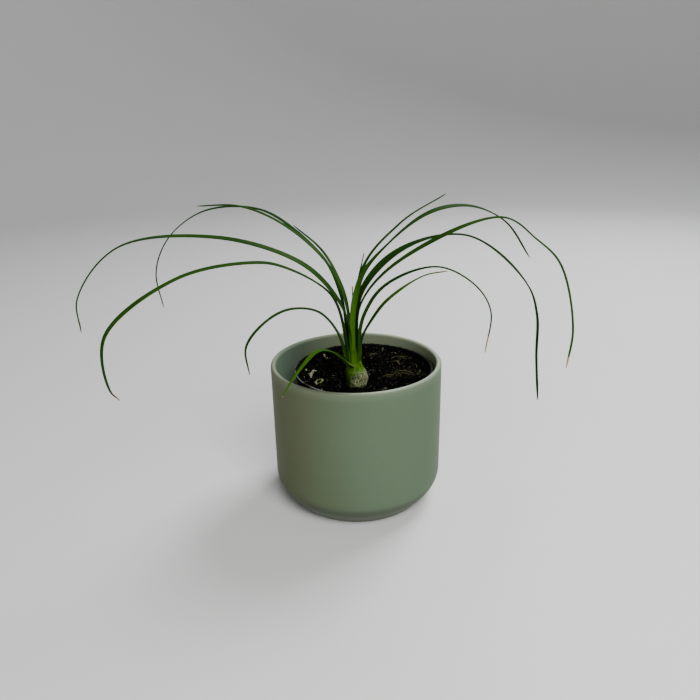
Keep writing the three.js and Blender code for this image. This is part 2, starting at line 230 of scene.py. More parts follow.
def round_rings(
    x: np.ndarray | float,
    y: float,
    reach: np.ndarray,
    height: np.ndarray,
    turn: np.ndarray,
) -> np.ndarray:
    """Level rings of points: the centre plus the reach times the cosine and sine of the turn.

    Args:
        x: The rings' centre, as a number or a column.
        y: The same the other way.
        reach: How far each point lies from the centre.
        height: A column of heights.
        turn: A row of turns in radians.

    Returns:
        Points with the shape rings, columns, 3.
    """
    points = [x + reach * np.cos(turn), y + reach * np.sin(turn), height + 0 * turn]
    return np.stack(points, axis=-1)


def skewed(
    rng: np.random.Generator, count: int | None, least: float, spread: float, power: int
) -> np.ndarray:
    """Random numbers that crowd near the least: even draws from 0 to 1, raised to a power.

    Args:
        rng: The seeded source.
        count: How many to draw, or None for one plain number.
        least: The lowest that they can be.
        spread: How far above it they can reach.
        power: How strongly they crowd.

    Returns:
        The numbers.
    """
    return least + spread * rng.uniform(0, 1, count) ** power


# ---- Meshes --------------------------------------------------------------------------------------
@dataclass
class Patch:
    """Points and faces of a surface, in millimetres, with values carried by its points.

    Fields:
        points: One row for each point.
        quads: Four point numbers a face.
        triangles: Three point numbers a face.
        values: Named numbers, one for each point.
    """

    points: np.ndarray
    quads: np.ndarray
    triangles: np.ndarray = field(default_factory=lambda: np.zeros((0, 3), int))
    values: dict[str, np.ndarray] = field(default_factory=dict)


def join(patches: list[Patch]) -> Patch:
    """Puts patches together, renumbering their points.

    Args:
        patches: The patches, with the same named values.

    Returns:
        One patch with all of them.
    """
    starts = np.cumsum([0] + [len(patch.points) for patch in patches[:-1]])
    return Patch(
        np.concatenate([patch.points for patch in patches]),
        np.concatenate([patch.quads + start for patch, start in zip(patches, starts)]),
        np.concatenate([patch.triangles + start for patch, start in zip(patches, starts)]),
        {
            name: np.concatenate([patch.values[name] for patch in patches])
            for name in patches[0].values
        },
    )


def ring_faces(rings: int, columns: int) -> np.ndarray:
    """Quads between neighbouring rings of a closed tube.

    Args:
        rings: How many rings there are.
        columns: How many points each ring has.

    Returns:
        Four point numbers for each face, turning outward if the rings turn left as they rise.
    """
    ring, column = np.meshgrid(np.arange(rings - 1), np.arange(columns), indexing="ij")
    following = (column + 1) % columns
    corners = [
        ring * columns + column,
        ring * columns + following,
        (ring + 1) * columns + following,
        (ring + 1) * columns + column,
    ]
    return np.stack(corners, axis=-1).reshape(-1, 4)


def closed_tube(rings: np.ndarray, first: np.ndarray, last: np.ndarray) -> Patch:
    """A tube through rings of points, closed by a fan at each end.

    Args:
        rings: Points with the shape rings, columns, 3.
        first: The point that closes the first ring.
        last: The point that closes the last ring.

    Returns:
        The closed surface; its points are the rings' in order, then first and last.
    """
    count, columns = rings.shape[:2]
    points = np.concatenate([rings.reshape(-1, 3), first[None], last[None]])
    column = np.arange(columns)
    following = (column + 1) % columns
    base, low, high = (count - 1) * columns, count * columns, count * columns + 1
    start = np.stack([np.full(columns, low), following, column], axis=1)
    end = np.stack([np.full(columns, high), base + column, base + following], axis=1)
    return Patch(points, ring_faces(count, columns), np.concatenate([start, end]))


def make_mesh(name: str, patch: Patch) -> bpy.types.Mesh:
    """Writes a patch into a mesh in metres, smooth shaded, with its values as point attributes.

    Args:
        name: The mesh's name.
        patch: The surface.

    Returns:
        The mesh.
    """
    mesh = bpy.data.meshes.new(name)
    mesh.vertices.add(len(patch.points))
    mesh.vertices.foreach_set("co", (patch.points * MM).astype(np.float32).ravel())
    corners = np.concatenate([patch.quads.ravel(), patch.triangles.ravel()]).astype(np.int32)
    sizes = np.repeat([4, 3], [len(patch.quads), len(patch.triangles)])
    starts = np.concatenate([[0], np.cumsum(sizes)[:-1]]).astype(np.int32)
    mesh.loops.add(len(corners))
    mesh.loops.foreach_set("vertex_index", corners)
    mesh.polygons.add(len(sizes))
    mesh.polygons.foreach_set("loop_start", starts)
    mesh.polygons.foreach_set("use_smooth", np.ones(len(sizes), bool))
    for label, values in patch.values.items():
        layer = mesh.attributes.new(label, "FLOAT", "POINT")
        layer.data.foreach_set("value", values.astype(np.float32))
    mesh.update(calc_edges=True)
    mesh.validate()
    return mesh


def add_piece(
    name: str,
    patch: Patch,
    material: bpy.types.Material,
    replaces: tuple[str, ...] = (),
) -> bpy.types.Object:
    """Adds a piece of the object, rides it on the body and hides the solids that it stands for.

    Args:
        name: The piece's name.
        patch: Its surface.
        material: Its finish.
        replaces: The solids that it stands for.

    Returns:
        The new object.
    """
    piece = bpy.data.objects.new(name, make_mesh(name, patch))
    bpy.context.scene.collection.objects.link(piece)
    piece.data.materials.append(material)
    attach(piece, "root")
    if replaces:
        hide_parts(*replaces)
    LOG.info("%s: %d points", name, len(patch.points))
    return piece


# ---- Materials -----------------------------------------------------------------------------------
class Value:
    """An output socket whose operators add Math nodes, for numbers that vary over a surface."""

    def __init__(self, shader: Shader, socket: bpy.types.NodeSocket) -> None:
        """Keeps the socket and the shader that it belongs to."""
        self.shader = shader
        self.socket = socket

    def _math(self, operation: str, first: Scalar, second: Scalar) -> Value:
        """Adds a Math node on two numbers."""
        return self.shader.node("ShaderNodeMath", {"operation": operation}, {0: first, 1: second})

    def __add__(self, other: Scalar) -> Value:
        """self + other."""
        return self._math("ADD", self, other)

    def __radd__(self, other: Scalar) -> Value:
        """other + self."""
        return self._math("ADD", other, self)

    def __sub__(self, other: Scalar) -> Value:
        """self - other."""
        return self._math("SUBTRACT", self, other)

    def __rsub__(self, other: Scalar) -> Value:
        """other - self."""
        return self._math("SUBTRACT", other, self)

    def __mul__(self, other: Scalar) -> Value:
        """self * other."""
        return self._math("MULTIPLY", self, other)

    def __rmul__(self, other: Scalar) -> Value:
        """other * self."""
        return self._math("MULTIPLY", other, self)

    def over(self, span: Span, unit: float = 1.0) -> Value:
        """A smooth step that is 0 at the span's start and 1 at its end, both in the unit."""
        return self.shader.node(
            "ShaderNodeMapRange",
            {"interpolation_type": "SMOOTHSTEP", "clamp": True},
            {"Value": self, "From Min": span[0] * unit, "From Max": span[1] * unit},
        )


Scalar = Union[Value, float]
Tint = Union[Value, Colour]


class Shader:
    """A material under construction, with one method that adds any node."""

    def __init__(self, name: str) -> None:
        """Makes an empty material with a Principled BSDF."""
        self.material = bpy.data.materials.new(name)
        self.material.use_nodes = True
        self.tree = self.material.node_tree
        self.surface = self.tree.nodes["Principled BSDF"]

    def node(
        self,
        kind: str,
        settings: dict[str, Any],
        inputs: dict[int | str, Any],
        output: int | str = 0,
    ) -> Value:
        """Adds a node, sets it up and then fills its sockets.

        Args:
            kind: The node's type.
            settings: Its properties.
            inputs: Numbers, colours or links by socket name or number.
            output: The output to hand back.

        Returns:
            That output.
        """
        made = self.tree.nodes.new(kind)
        for name, setting in settings.items():
            setattr(made, name, setting)
        for name, value in inputs.items():
            self._fill(made.inputs[name], value)
        return Value(self, made.outputs[output])

    def _fill(self, socket: bpy.types.NodeSocket, value: Any) -> None:
        """Links a socket or sets it; a colour of three numbers becomes opaque."""
        if isinstance(value, Value):
            self.tree.links.new(value.socket, socket)
        elif socket.type == "RGBA":
            socket.default_value = (*value, 1.0)
        else:
            socket.default_value = value

    def place(self) -> Value:
        """The point's place on the object, in metres."""
        return self.node("ShaderNodeTexCoord", {}, {}, "Object")

    def axis(self, vector: Value, name: str) -> Value:
        """One coordinate of a vector: X, Y or Z."""
        return self.node("ShaderNodeSeparateXYZ", {}, {"Vector": vector}, name)

    def vector(self, x: Scalar, y: Scalar, z: Scalar) -> Value:
        """A vector put together from three numbers."""
        return self.node("ShaderNodeCombineXYZ", {}, {"X": x, "Y": y, "Z": z})

    def carried(self, name: str) -> Value:
        """A value carried by the mesh's points."""
        return self.node("ShaderNodeAttribute", {"attribute_name": name}, {}, "Fac")

    def noise(self, vector: Value, size: float, detail: float = 2.0, rough: float = 0.5) -> Value:
        """Cloudy noise from 0 to 1.

        Args:
            vector: Where on the surface, in metres.
            size: The size of its patches in millimetres.
            detail: How many finer layers it has.
            rough: How strong those are.

        Returns:
            The noise.
        """
        sockets = {"Vector": vector, "Scale": 1 / (size * MM), "Detail": detail, "Roughness": rough}
        return self.node("ShaderNodeTexNoise", {}, sockets)

    def cells(self, vector: Value, size: float) -> Value:
        """The distance to the nearest of scattered points, for grains of a size in millimetres."""
        return self.node("ShaderNodeTexVoronoi", {}, {"Vector": vector, "Scale": 1 / (size * MM)})

    def mix(self, share: Scalar, first: Tint, second: Tint) -> Value:
        """Goes from the first colour to the second as share goes from 0 to 1."""
        return self.node("ShaderNodeMix", {"data_type": "RGBA"}, {0: share, 6: first, 7: second}, 2)

    def bump(self, height: Value, depth: float, base: Value | None = None) -> Value:
        """Turns a height from 0 to 1 into a shading normal.

        Args:
            height: The height.
            depth: What a height of 1 measures in millimetres.
            base: A normal to add it to.

        Returns:
            The normal.
        """
        sockets: dict[int | str, Any] = {"Height": height, "Distance": depth * MM}
        if base is not None:
            sockets["Normal"] = base
        return self.node("ShaderNodeBump", {}, sockets)

    def finish(self, **sockets: Any) -> bpy.types.Material:
        """Fills the surface's sockets, named with underscores, and hands the material back."""
        for name, value in sockets.items():
            label = name.replace("_", " ").title().replace("Ior", "IOR")
            self._fill(self.surface.inputs[label], value)
        return self.material


@dataclass(frozen=True)
class SageGlaze:
    """Satin sage-green glaze over pale clay, which shows bare under the foot.

    In every finish, spans along x, y, z or reach, sizes, depths, edges and drifts are in
    millimetres, and shares and other spans are parts of 1.
    """

    body: Colour = (0.116, 0.163, 0.104)
    # painted shade: the darker, browner green of the pot's shaded left side
    shaded_olive: Colour = (0.113, 0.125, 0.071)
    # painted light and shade inside: inner is the lit colour of the inside, lining its shaded
    # colour
    inner: Colour = (0.218, 0.256, 0.165)
    lining: Colour = (0.100, 0.145, 0.104)
    # painted shade: the darker band just under the foot's crease, with foot as its lighter lower
    # end
    crease_shade: Colour = (0.096, 0.119, 0.085)
    foot: Colour = (0.138, 0.153, 0.121)
    # painted shade: the darker lip at the left front
    dull: Colour = (0.050, 0.052, 0.036)
    # one pale colour for real speckles and for the painted highlights on the lip and under the rim
    speckle_and_highlight: Colour = (0.620, 0.660, 0.520)
    clay: Colour = (0.520, 0.470, 0.390)
    cloud_size: float = 38.0
    cloud_depth: float = 0.12
    lit_side_drift: float = 46.0
    shaded_olive_x: Span = (-58.0, 12.0)
    lining_x: Span = (-62.0, -12.0)
    foot_z: Span = (7.0, 12.0)
    bare_z: Span = (0.14, 0.35)
    rim_highlight_z: Span = (95.0, 101.0)
    rim_highlight_share: float = 0.06
    # painted shade and painted highlight on the lip: where it is darker at the front, and where it
    # is paler
    lip_shade_y: Span = (-50.0, -20.0)
    lip_shade_from_x: Span = (-56.0, -40.0)
    lip_shade_to_x: Span = (-20.0, 4.0)
    lip_shade_share: float = 0.8
    lip_highlight_x: Span = (-18.0, 20.0)
    lip_highlight_fade_x: Span = (24.0, 44.0)
    edge_x: Span = (-60.0, -46.0)
    lip_highlight_least: float = 0.05
    lip_highlight_share: float = 0.64
    lip_highlight_fade_share: float = 0.3
    edge_share: float = 0.14
    patchy_share: float = 0.3
    speckle_size: float = 1.3
    speckle_span: Span = (0.62, 0.74)
    speckle_share: float = 0.025
    peel_size: float = 0.9
    peel_depth: float = 0.012
    streak_size: float = 9.0
    roughness: float = 0.40
    streak_roughness: float = 0.10
    clay_roughness: float = 0.4
    ior: float = 1.085

    def material(self) -> bpy.types.Material:
        """Clouded glaze with painted light: painted shade makes the outside darker and browner on
        its shaded left. By the profile's three marks, the inside is painted paler on its lit right,
        a painted highlight runs along the crown of the lip and painted shade lies under the crease
        of the foot.
        """
        shader = Shader("sage_glaze")
        place = shader.place()
        side, height = shader.axis(place, "X"), shader.axis(place, "Z")
        clouds = shader.noise(place, self.cloud_size, 3, 0.55)
        # painted shade: the outside turns darker and browner towards its shaded left, with a
        # clouded edge
        lit_side = side + (clouds - 0.5) * (self.lit_side_drift * MM)
        glaze = shader.mix(lit_side.over(self.shaded_olive_x, MM), self.shaded_olive, self.body)
        # painted shade: under the crease the glaze darkens, lighter again towards the bottom
        crease_shade = shader.mix(height.over(self.foot_z, MM), self.foot, self.crease_shade)
        glaze = shader.mix(shader.carried("crease_shade"), glaze, crease_shade)
        # painted highlight: the outside turns paler just under the rim
        glaze = shader.mix(height.over(self.rim_highlight_z, MM) * self.rim_highlight_share, glaze, self.speckle_and_highlight)
        # painted light and shade: the inside is paler towards its lit right and darker towards its
        # shaded left; on the lip's inner half the paler colour paints a highlight along its inner
        # edge
        lining = shader.mix(lit_side.over(self.lining_x, MM), self.lining, self.inner)
        glaze = shader.mix(shader.carried("inside"), glaze, lining)
        glaze = self._lip(shader, glaze, place, clouds)
        speckle = shader.noise(place, self.speckle_size, 2).over(self.speckle_span)
        glaze = shader.mix(speckle * self.speckle_share, glaze, self.speckle_and_highlight)
        bare = 1 - height.over(self.bare_z, MM)
        peel = shader.noise(place, self.peel_size, 1)
        streaks = shader.noise(place, self.streak_size, 3)
        return shader.finish(
            base_color=shader.mix(bare, glaze, self.clay),
            roughness=self.roughness + self.streak_roughness * streaks + self.clay_roughness * bare,
            normal=shader.bump(peel, self.peel_depth, shader.bump(clouds, self.cloud_depth)),
            ior=self.ior,
        )

    def _lip(self, shader: Shader, glaze: Value, place: Value, clouds: Value) -> Value:
        """The lip's painted light: painted shade darkens it at the front on one side, and a patchy
        painted highlight makes it pale by side.

        Args:
            shader: The material.
            glaze: The colour so far.
            place: The point's place.
            clouds: The glaze's slow noise.

        Returns:
            The colour with the lip.
        """
        side, lip = shader.axis(place, "X"), shader.carried("lip")
        # painted shade: the front of the lip is darker on the left
        front = 1 - shader.axis(place, "Y").over(self.lip_shade_y, MM)
        dull = front * side.over(self.lip_shade_from_x, MM) * (1 - side.over(self.lip_shade_to_x, MM))
        glaze = shader.mix(lip * dull * self.lip_shade_share, glaze, self.dull)
        # painted highlight: the lip is paler towards the right, a little less at the far right,
        # with a touch at the far left, patchy by the clouds
        painted_highlight = side.over(self.lip_highlight_x, MM) - self.lip_highlight_fade_share * side.over(self.lip_highlight_fade_x, MM)
        edge = self.edge_share * (1 - side.over(self.edge_x, MM))
        painted_highlight = self.lip_highlight_least + self.lip_highlight_share * painted_highlight + edge
        return shader.mix(lip * (painted_highlight + self.patchy_share * (clouds - 0.5)), glaze, self.speckle_and_highlight)


@dataclass(frozen=True)
class BlackPlastic:
    """Thin black nursery-pot plastic, scuffed, with a painted highlight: a pale line along its rim.
    """

    body: Colour = (0.006, 0.006, 0.006)
    dust: Colour = (0.030, 0.027, 0.022)
    painted_highlight: Colour = (0.30, 0.31, 0.29)
    scuff_size: float = 2.2
    scuff_span: Span = (0.55, 0.75)
    scuff_share: float = 0.6
    # painted highlight along the rim: its height, its reach and the sides where it shows
    line_z: Span = (-0.35, -0.15)
    line_reach: Span = (-0.62, -0.40)
    near_x: Span = (-30.0, 10.0)
    near_y: Span = (4.0, 18.0)
    far_x: Span = (38.0, 48.0)
    far_y: Span = (2.0, 18.0)
    far_share: float = 0.4
    patch_size: float = 5.0
    patch_span: Span = (0.25, 0.55)
    grain_size: float = 0.8
    grain_depth: float = 0.03
    roughness: float = 0.45
    scuff_roughness: float = 0.3
    ior: float = 1.05

    def material(self, pot: NurseryPot) -> bpy.types.Material:
        """Satin plastic with dusty scuffs; the painted highlight along the rim fades towards one
        side.

        Args:
            pot: The pot, whose rim tells where the worn line runs.

        Returns:
            The material.
        """
        shader = Shader("black_plastic")
        place = shader.place()
        x, y, z = (shader.axis(place, name) for name in "XYZ")
        scuffs = shader.noise(place, self.scuff_size, 4, 0.6).over(self.scuff_span)
        plastic = shader.mix(scuffs * self.scuff_share, self.body, self.dust)
        reach = shader.node(
            "ShaderNodeVectorMath",
            {"operation": "DISTANCE"},
            {0: shader.vector(x, y, 0.0), 1: (pot.x * MM, pot.y * MM, 0.0)},
            "Value",
        )
        # painted highlight: a pale line along the top of the rim, strongest at the near left and
        # fainter at the right
        line = z.over(shifted(self.line_z, pot.rim_z), MM)
        line = line * reach.over(shifted(self.line_reach, pot.rim_radius), MM)
        near = (1 - x.over(self.near_x, MM)) * (1 - y.over(self.near_y, MM))
        far = self.far_share * x.over(self.far_x, MM) * (1 - y.over(self.far_y, MM))
        patchy = shader.noise(place, self.patch_size, 2).over(self.patch_span)
        return shader.finish(
            base_color=shader.mix(line * (near + far) * patchy, plastic, self.painted_highlight),
            roughness=self.roughness + self.scuff_roughness * scuffs,
            normal=shader.bump(shader.noise(place, self.grain_size, 2), self.grain_depth),
            ior=self.ior,
        )


@dataclass(frozen=True)
class PottingMix:
    """Damp, near-black peat with browner flecks."""

    damp: Colour = (0.0007, 0.0008, 0.0006)
    crumb: Colour = (0.0058, 0.0066, 0.0052)
    fleck: Colour = (0.044, 0.050, 0.040)
    straw: Colour = (0.32, 0.32, 0.24)
    grain_size: float = 1.1
    grain_span: Span = (0.42, 0.72)
    grain_depth: float = 0.25
    fleck_size: float = 0.45
    fleck_span: Span = (0.62, 0.78)
    fleck_share: float = 0.5
    roughness: float = 0.62
    grain_roughness: float = 0.3
    ior: float = 1.004

    def material(self) -> bpy.types.Material:
        """Peat that is darkest in its hollows; the value named tone lifts a piece towards straw."""
        shader = Shader("potting_mix")
        place = shader.place()
        grain = shader.noise(place, self.grain_size, 4, 0.65)
        flecks = shader.noise(place, self.fleck_size, 2).over(self.fleck_span)
        peat = shader.mix(grain.over(self.grain_span), self.damp, self.crumb)
        peat = shader.mix(flecks * self.fleck_share, peat, self.fleck)
        return shader.finish(
            base_color=shader.mix(shader.carried("tone"), peat, self.straw),
            roughness=self.roughness + self.grain_roughness * grain,
            normal=shader.bump(grain, self.grain_depth),
            ior=self.ior,
        )


@dataclass(frozen=True)
class Litter:
    """Bits that lie on the soil: bark, straw and fibres, from dark brown to pale straw."""

    bark: Colour = (0.0066, 0.0068, 0.0052)
    straw: Colour = (0.42, 0.40, 0.25)
    moss: Colour = (0.19, 0.24, 0.080)
    rust: Colour = (0.068, 0.050, 0.029)
    grain_size: float = 0.7
    grain_span: Span = (0.44, 0.66)
    grain_share: float = 0.75
    grain_depth: float = 0.12
    roughness: float = 0.8
    ior: float = 1.01

    def material(self) -> bpy.types.Material:
        """Woody bits whose values tone and hue choose between bark, straw, moss and rust."""
        shader = Shader("litter")
        grain = shader.noise(shader.place(), self.grain_size, 3, 0.6)
        hue = shader.carried("hue")
        green, brown = shader.mix(hue, self.straw, self.moss), shader.mix(hue, self.bark, self.rust)
        colour = shader.mix(shader.carried("tone"), brown, green)
        dark = grain.over(self.grain_span) * self.grain_share
        return shader.finish(
            base_color=shader.mix(dark, colour, self.bark),
            roughness=self.roughness,
            normal=shader.bump(grain, self.grain_depth),
            ior=self.ior,
        )


@dataclass(frozen=True)
class Grit:
    """Pale mineral grains and perlite dust."""

    pale: Colour = (0.62, 0.60, 0.54)
    dull: Colour = (0.20, 0.18, 0.15)
    stain_size: float = 1.6
    stain_span: Span = (0.4, 0.6)
    roughness: float = 0.6
    ior: float = 1.05

    def material(self) -> bpy.types.Material:
        """Pale grains, some of them stained."""
        shader = Shader("grit")
        stain = shader.noise(shader.place(), self.stain_size, 2).over(self.stain_span)
        colour = shader.mix(stain, self.pale, self.dull)
        return shader.finish(base_color=colour, roughness=self.roughness, ior=self.ior)


@dataclass(frozen=True)
class CorkAndNeck:
    """Pale speckled cork low on one side of the bulb, dark moss with painted shade on the other, a
    green neck.
    """

    cork: Colour = (0.240, 0.250, 0.130)
    fissure: Colour = (0.036, 0.040, 0.016)
    fleck: Colour = (0.640, 0.660, 0.480)
    # dark moss, painted darker as the shaded side of the bulb
    moss: Colour = (0.014, 0.028, 0.002)
    lichen: Colour = (0.050, 0.088, 0.010)
    scar: Colour = (0.230, 0.290, 0.110)
    neck: Colour = (0.062, 0.150, 0.003)
    shade: Colour = (0.026, 0.080, 0.002)
    edge_size: float = 2.6
    top_edge: float = 5.0
    side_edge: float = 9.0
    foot_edge: float = 3.0
    cork_top_z: Span = (99.6, 103.2)
    cork_tilt: float = 0.18
    cork_lean: float = 0.35
    cork_lean_z: float = 97.0
    cork_x: Span = (-5.0, 0.5)
    cork_foot_z: Span = (91.6, 93.6)
    crack_size: float = 0.9
    crack_span: Span = (0.43, 0.56)
    crack_depth: float = 0.35
    grain_size: float = 0.95
    grain_span: Span = (0.12, 0.32)
    grain_share: float = 0.7
    streak_size: float = 1.1
    streak_squeeze: float = 0.10
    streak_span: Span = (0.38, 0.64)
    shaded_moss_z: Span = (98.5, 103.5)
    lichen_span: Span = (0.47, 0.62)
    ring_from_z: Span = (101.4, 102.4)
    ring_to_z: Span = (103.0, 104.4)
    ring_x: Span = (-3.0, 0.5)
    ring_span: Span = (0.44, 0.60)
    ring_share: float = 0.4
    roughness: float = 0.50
    cork_roughness: float = 0.38
    ior: float = 1.2

    def material(self) -> bpy.types.Material:
        """Cork by height and side, cracked and flecked; long streaks up the neck."""
        shader = Shader("cork_and_neck")
        place = shader.place()
        height, side = shader.axis(place, "Z"), shader.axis(place, "X")
        edge = shader.noise(place, self.edge_size, 3, 0.6) - 0.5
        ragged = height + edge * (self.top_edge * MM)
        lean = side + edge * (self.side_edge * MM)
        lean = lean - self.cork_lean * (height - self.cork_lean_z * MM)
        corky = 1 - (ragged - self.cork_tilt * side).over(self.cork_top_z, MM)
        corky = corky * lean.over(self.cork_x, MM)
        corky = corky * (height + edge * (self.foot_edge * MM)).over(self.cork_foot_z, MM)
        cracks = shader.noise(place, self.crack_size, 3, 0.65)
        cork = shader.mix(cracks.over(self.crack_span), self.fissure, self.cork)
        grains = 1 - shader.cells(place, self.grain_size).over(self.grain_span)
        cork = shader.mix(grains * self.grain_share, cork, self.fleck)
        squeezed = shader.node(
            "ShaderNodeVectorMath",
            {"operation": "MULTIPLY"},
            {0: place, 1: (1.0, 1.0, self.streak_squeeze)},
        )
        streaks = shader.noise(squeezed, self.streak_size, 3)
        neck = shader.mix(streaks.over(self.streak_span), self.neck, self.shade)
        moss = shader.mix(cracks.over(self.lichen_span), self.moss, self.lichen)
        # painted shade: below the neck, the side without cork is dark moss, darkened as the bulb's
        # shaded side
        green = shader.mix(1 - ragged.over(self.shaded_moss_z, MM), neck, moss)
        ring = height.over(self.ring_from_z, MM) * (1 - height.over(self.ring_to_z, MM))
        ring = ring * cracks.over(self.ring_span) * side.over(self.ring_x, MM)
        green = shader.mix(ring * self.ring_share, green, self.scar)
        return shader.finish(
            base_color=shader.mix(corky, green, cork),
            roughness=self.roughness + self.cork_roughness * corky,
            normal=shader.bump(cracks, self.crack_depth),
            ior=self.ior,
        )


@dataclass(frozen=True)
class LeafGreen:
    """Satin strap leaf: deep green, finely veined, bright at its foot and dry at its tip."""

    deep: Colour = (0.0100, 0.0375, 0.0046)
    fresh: Colour = (0.045, 0.120, 0.0080)
    foot: Colour = (0.050, 0.130, 0.003)
    margin: Colour = (0.300, 0.420, 0.120)
    straw: Colour = (0.420, 0.300, 0.100)
    brown: Colour = (0.060, 0.034, 0.016)
    vein_size: float = 0.36
    vein_stretch: float = 0.02
    vein_depth: float = 0.05
    blotch_size: float = 7.0
    blotch_stretch: float = 0.3
    contrast: float = 0.5
    dry_span: Span = (0.35, 0.65)
    roughness: float = 0.42
    vein_roughness: float = 0.14
    dry_roughness: float = 0.25
    ior: float = 1.07

    def material(self) -> bpy.types.Material:
        """Veined green by the values that each leaf's points carry."""
        shader = Shader("leaf_green")
        across, along, leaf = (shader.carried(name) for name in ("across", "along", "leaf"))
        lengthwise = shader.vector(across, along * self.vein_stretch, leaf)
        veins = shader.noise(lengthwise, self.vein_size)
        cloudy = shader.vector(across, along * self.blotch_stretch, leaf)
        blotch = shader.noise(cloudy, self.blotch_size, 3)
        vein_share = self.contrast * (veins - 0.5)
        youth = shader.carried("youth") + self.contrast * (blotch - 0.5) + vein_share
        green = shader.mix(youth.over((0.0, 1.0)), self.deep, self.fresh)
        green = shader.mix(shader.carried("foot"), green, self.foot)
        green = shader.mix(shader.carried("margin"), green, self.margin)
        dry_colour = shader.mix(shader.carried("burnt"), self.straw, self.brown)
        dry = (shader.carried("dry") + vein_share).over(self.dry_span)
        return shader.finish(
            base_color=shader.mix(dry, green, dry_colour),
            roughness=self.roughness + self.vein_roughness * veins + self.dry_roughness * dry,
            normal=shader.bump(veins, self.vein_depth),
            ior=self.ior,
        )


@dataclass(frozen=True)
class StudioSweep:
    """Plain pale floor that sweeps up into its own wall."""

    pale: Colour = (0.800, 0.800, 0.790)
    dimming: float = 0.97
    cloud_size: float = 180.0
    roughness: float = 0.55

    def material(self) -> bpy.types.Material:
        """Even matt paper with the faintest mottling."""
        shader = Shader("studio_sweep")
        cloud = shader.noise(shader.place(), self.cloud_size, 2)
        dim = tuple(self.dimming * channel for channel in self.pale)
        colour = shader.mix(cloud, self.pale, dim)
        return shader.finish(base_color=colour, roughness=self.roughness)


# ---- Pots ----------------------------------------------------------------------------------------
@dataclass
class CoverPot:
    """The glazed ceramic cover pot: a straight wall, a half-round lip and a chamfered foot.

    Spans ending in rings or drops place single rings of points; lining_turn, lip_turn and
    lip_spread are degrees round the lip's half circle from its outside.
    """

    radius: float = 60.0
    height: float = 102.0
    foot_radius: float = 48.3
    shoulder_z: float = 15.0
    shoulder_rise: float = 1.5
    shoulder_round: float = 4.5
    shoulder_steps: int = 16
    knee_radius: float = 56.5
    knee_z: float = 9.8
    knee_round: float = 2.6
    knee_steps: int = 6
    wall: float = 3.8
    wall_steps: int = 8
    floor: float = 5.0
    foot_round: float = 1.2
    foot_steps: int = 8
    lip_steps: int = 24
    under_rings: Span = (12.0, 30.0)
    inside_drops: Span = (12.0, 40.0)
    floor_ring: float = 20.0
    segments: int = 288
    waver: float = 0.06
    waver_share: float = 0.6
    waver_twists: Span = (31.0, 17.0)
    waver_rise: float = 20.0
    lining_turn: Span = (60.0, 140.0)
    lip_turn: float = 92.0
    lip_spread: float = 42.0
    # painted shade under the crease: where the darker band starts and how far it fades
    crease_shade_below: float = 1.0
    crease_shade_span: float = 3.4
    finish: SageGlaze = field(default_factory=SageGlaze)

    def profile(self) -> np.ndarray:
        """Radius and height from the axis below, up the outside, over the lip and down inside.

        Returns:
            The points of the outline.
        """
        lip = self.wall / 2
        inner, crown = self.radius - self.wall, self.height - lip
        foot, inner_foot = (self.foot_radius, 0.0), (self.foot_radius, self.floor)
        knee = (self.knee_radius, self.knee_z)
        bend = (self.radius, self.shoulder_z + self.shoulder_rise)
        top, inner_top = (self.radius, crown), (inner, crown)
        angle = np.linspace(0, np.pi, self.lip_steps + 1)[:, None]
        lip_arc = np.hstack([self.radius - lip + lip * np.cos(angle), crown + lip * np.sin(angle)])
        shoulder = rounded_corner(knee, bend, top, self.shoulder_round, self.shoulder_steps)
        steps = np.linspace(0, 1, self.wall_steps + 1)[1:-1, None]
        inside = (inner, self.shoulder_z)
        return np.vstack([
            [[0.0, 0.0], *([ring, 0.0] for ring in self.under_rings)],
            rounded_corner((0.0, 0.0), foot, knee, self.foot_round, self.foot_steps),
            rounded_corner(foot, knee, bend, self.knee_round, self.knee_steps),
            shoulder[1:],
            shoulder[-1] + steps * (np.array(top) - shoulder[-1]),
            lip_arc,
            [[inner, self.height - drop] for drop in self.inside_drops],
            rounded_corner(inner_top, inside, inner_foot, self.shoulder_round, self.foot_steps),
            [[r, self.floor] for r in (self.foot_radius - self.wall, self.floor_ring, 0.0)],
        ])

    def marks(self, radius: np.ndarray, height: np.ndarray) -> dict[str, np.ndarray]:
        """Where along the profile the glaze is lining, lip, and painted shade under the crease.

        Args:
            radius: The profile's radii.
            height: Its heights.

        Returns:
            A number from 0 to 1 for each point of the profile, by name.
        """
        crown = self.height - self.wall / 2
        turn = np.degrees(np.arctan2(height - crown, radius - self.radius + self.wall / 2))
        on_lip = height > crown - 0.01
        after_lip = np.arange(len(radius)) > np.flatnonzero(on_lip)[-1]
        start, end = self.lining_turn
        below = height - self.shoulder_z + self.crease_shade_below
        return {
            "inside": np.where(on_lip, ramp((turn - start) / (end - start)), after_lip),
            "lip": on_lip * np.exp(-(((turn - self.lip_turn) / self.lip_spread) ** 2)),
            "crease_shade": (1.0 - after_lip) * (1 - ramp(below / self.crease_shade_span)),
        }

    def build(self) -> None:
        """Adds the pot in place of its solid: its profile turned about Z, its radius swelling by
        two slow waves that twist with height.
        """
        profile = self.profile()
        turn = turns(self.segments)
        radius, height = profile[1:-1, 0:1], profile[1:-1, 1:2]
        slow, quick = self.waver_twists
        wave = np.sin(3 * turn + height / slow)
        wave = wave + self.waver_share * np.sin(5 * turn - height / quick)
        reach = radius + self.waver * wave * ramp(height / self.waver_rise)
        rings = round_rings(0.0, 0.0, reach, height, turn)
        patch = closed_tube(rings, *(np.array([0.0, 0.0, profile[k, 1]]) for k in (0, -1)))
        patch.values = {
            name: np.append(np.repeat(mark[1:-1], self.segments), mark[[0, -1]])
            for name, mark in self.marks(*profile.T).items()
        }
        add_piece("glazed_pot", patch, self.finish.material(), ("ceramic_pot",))


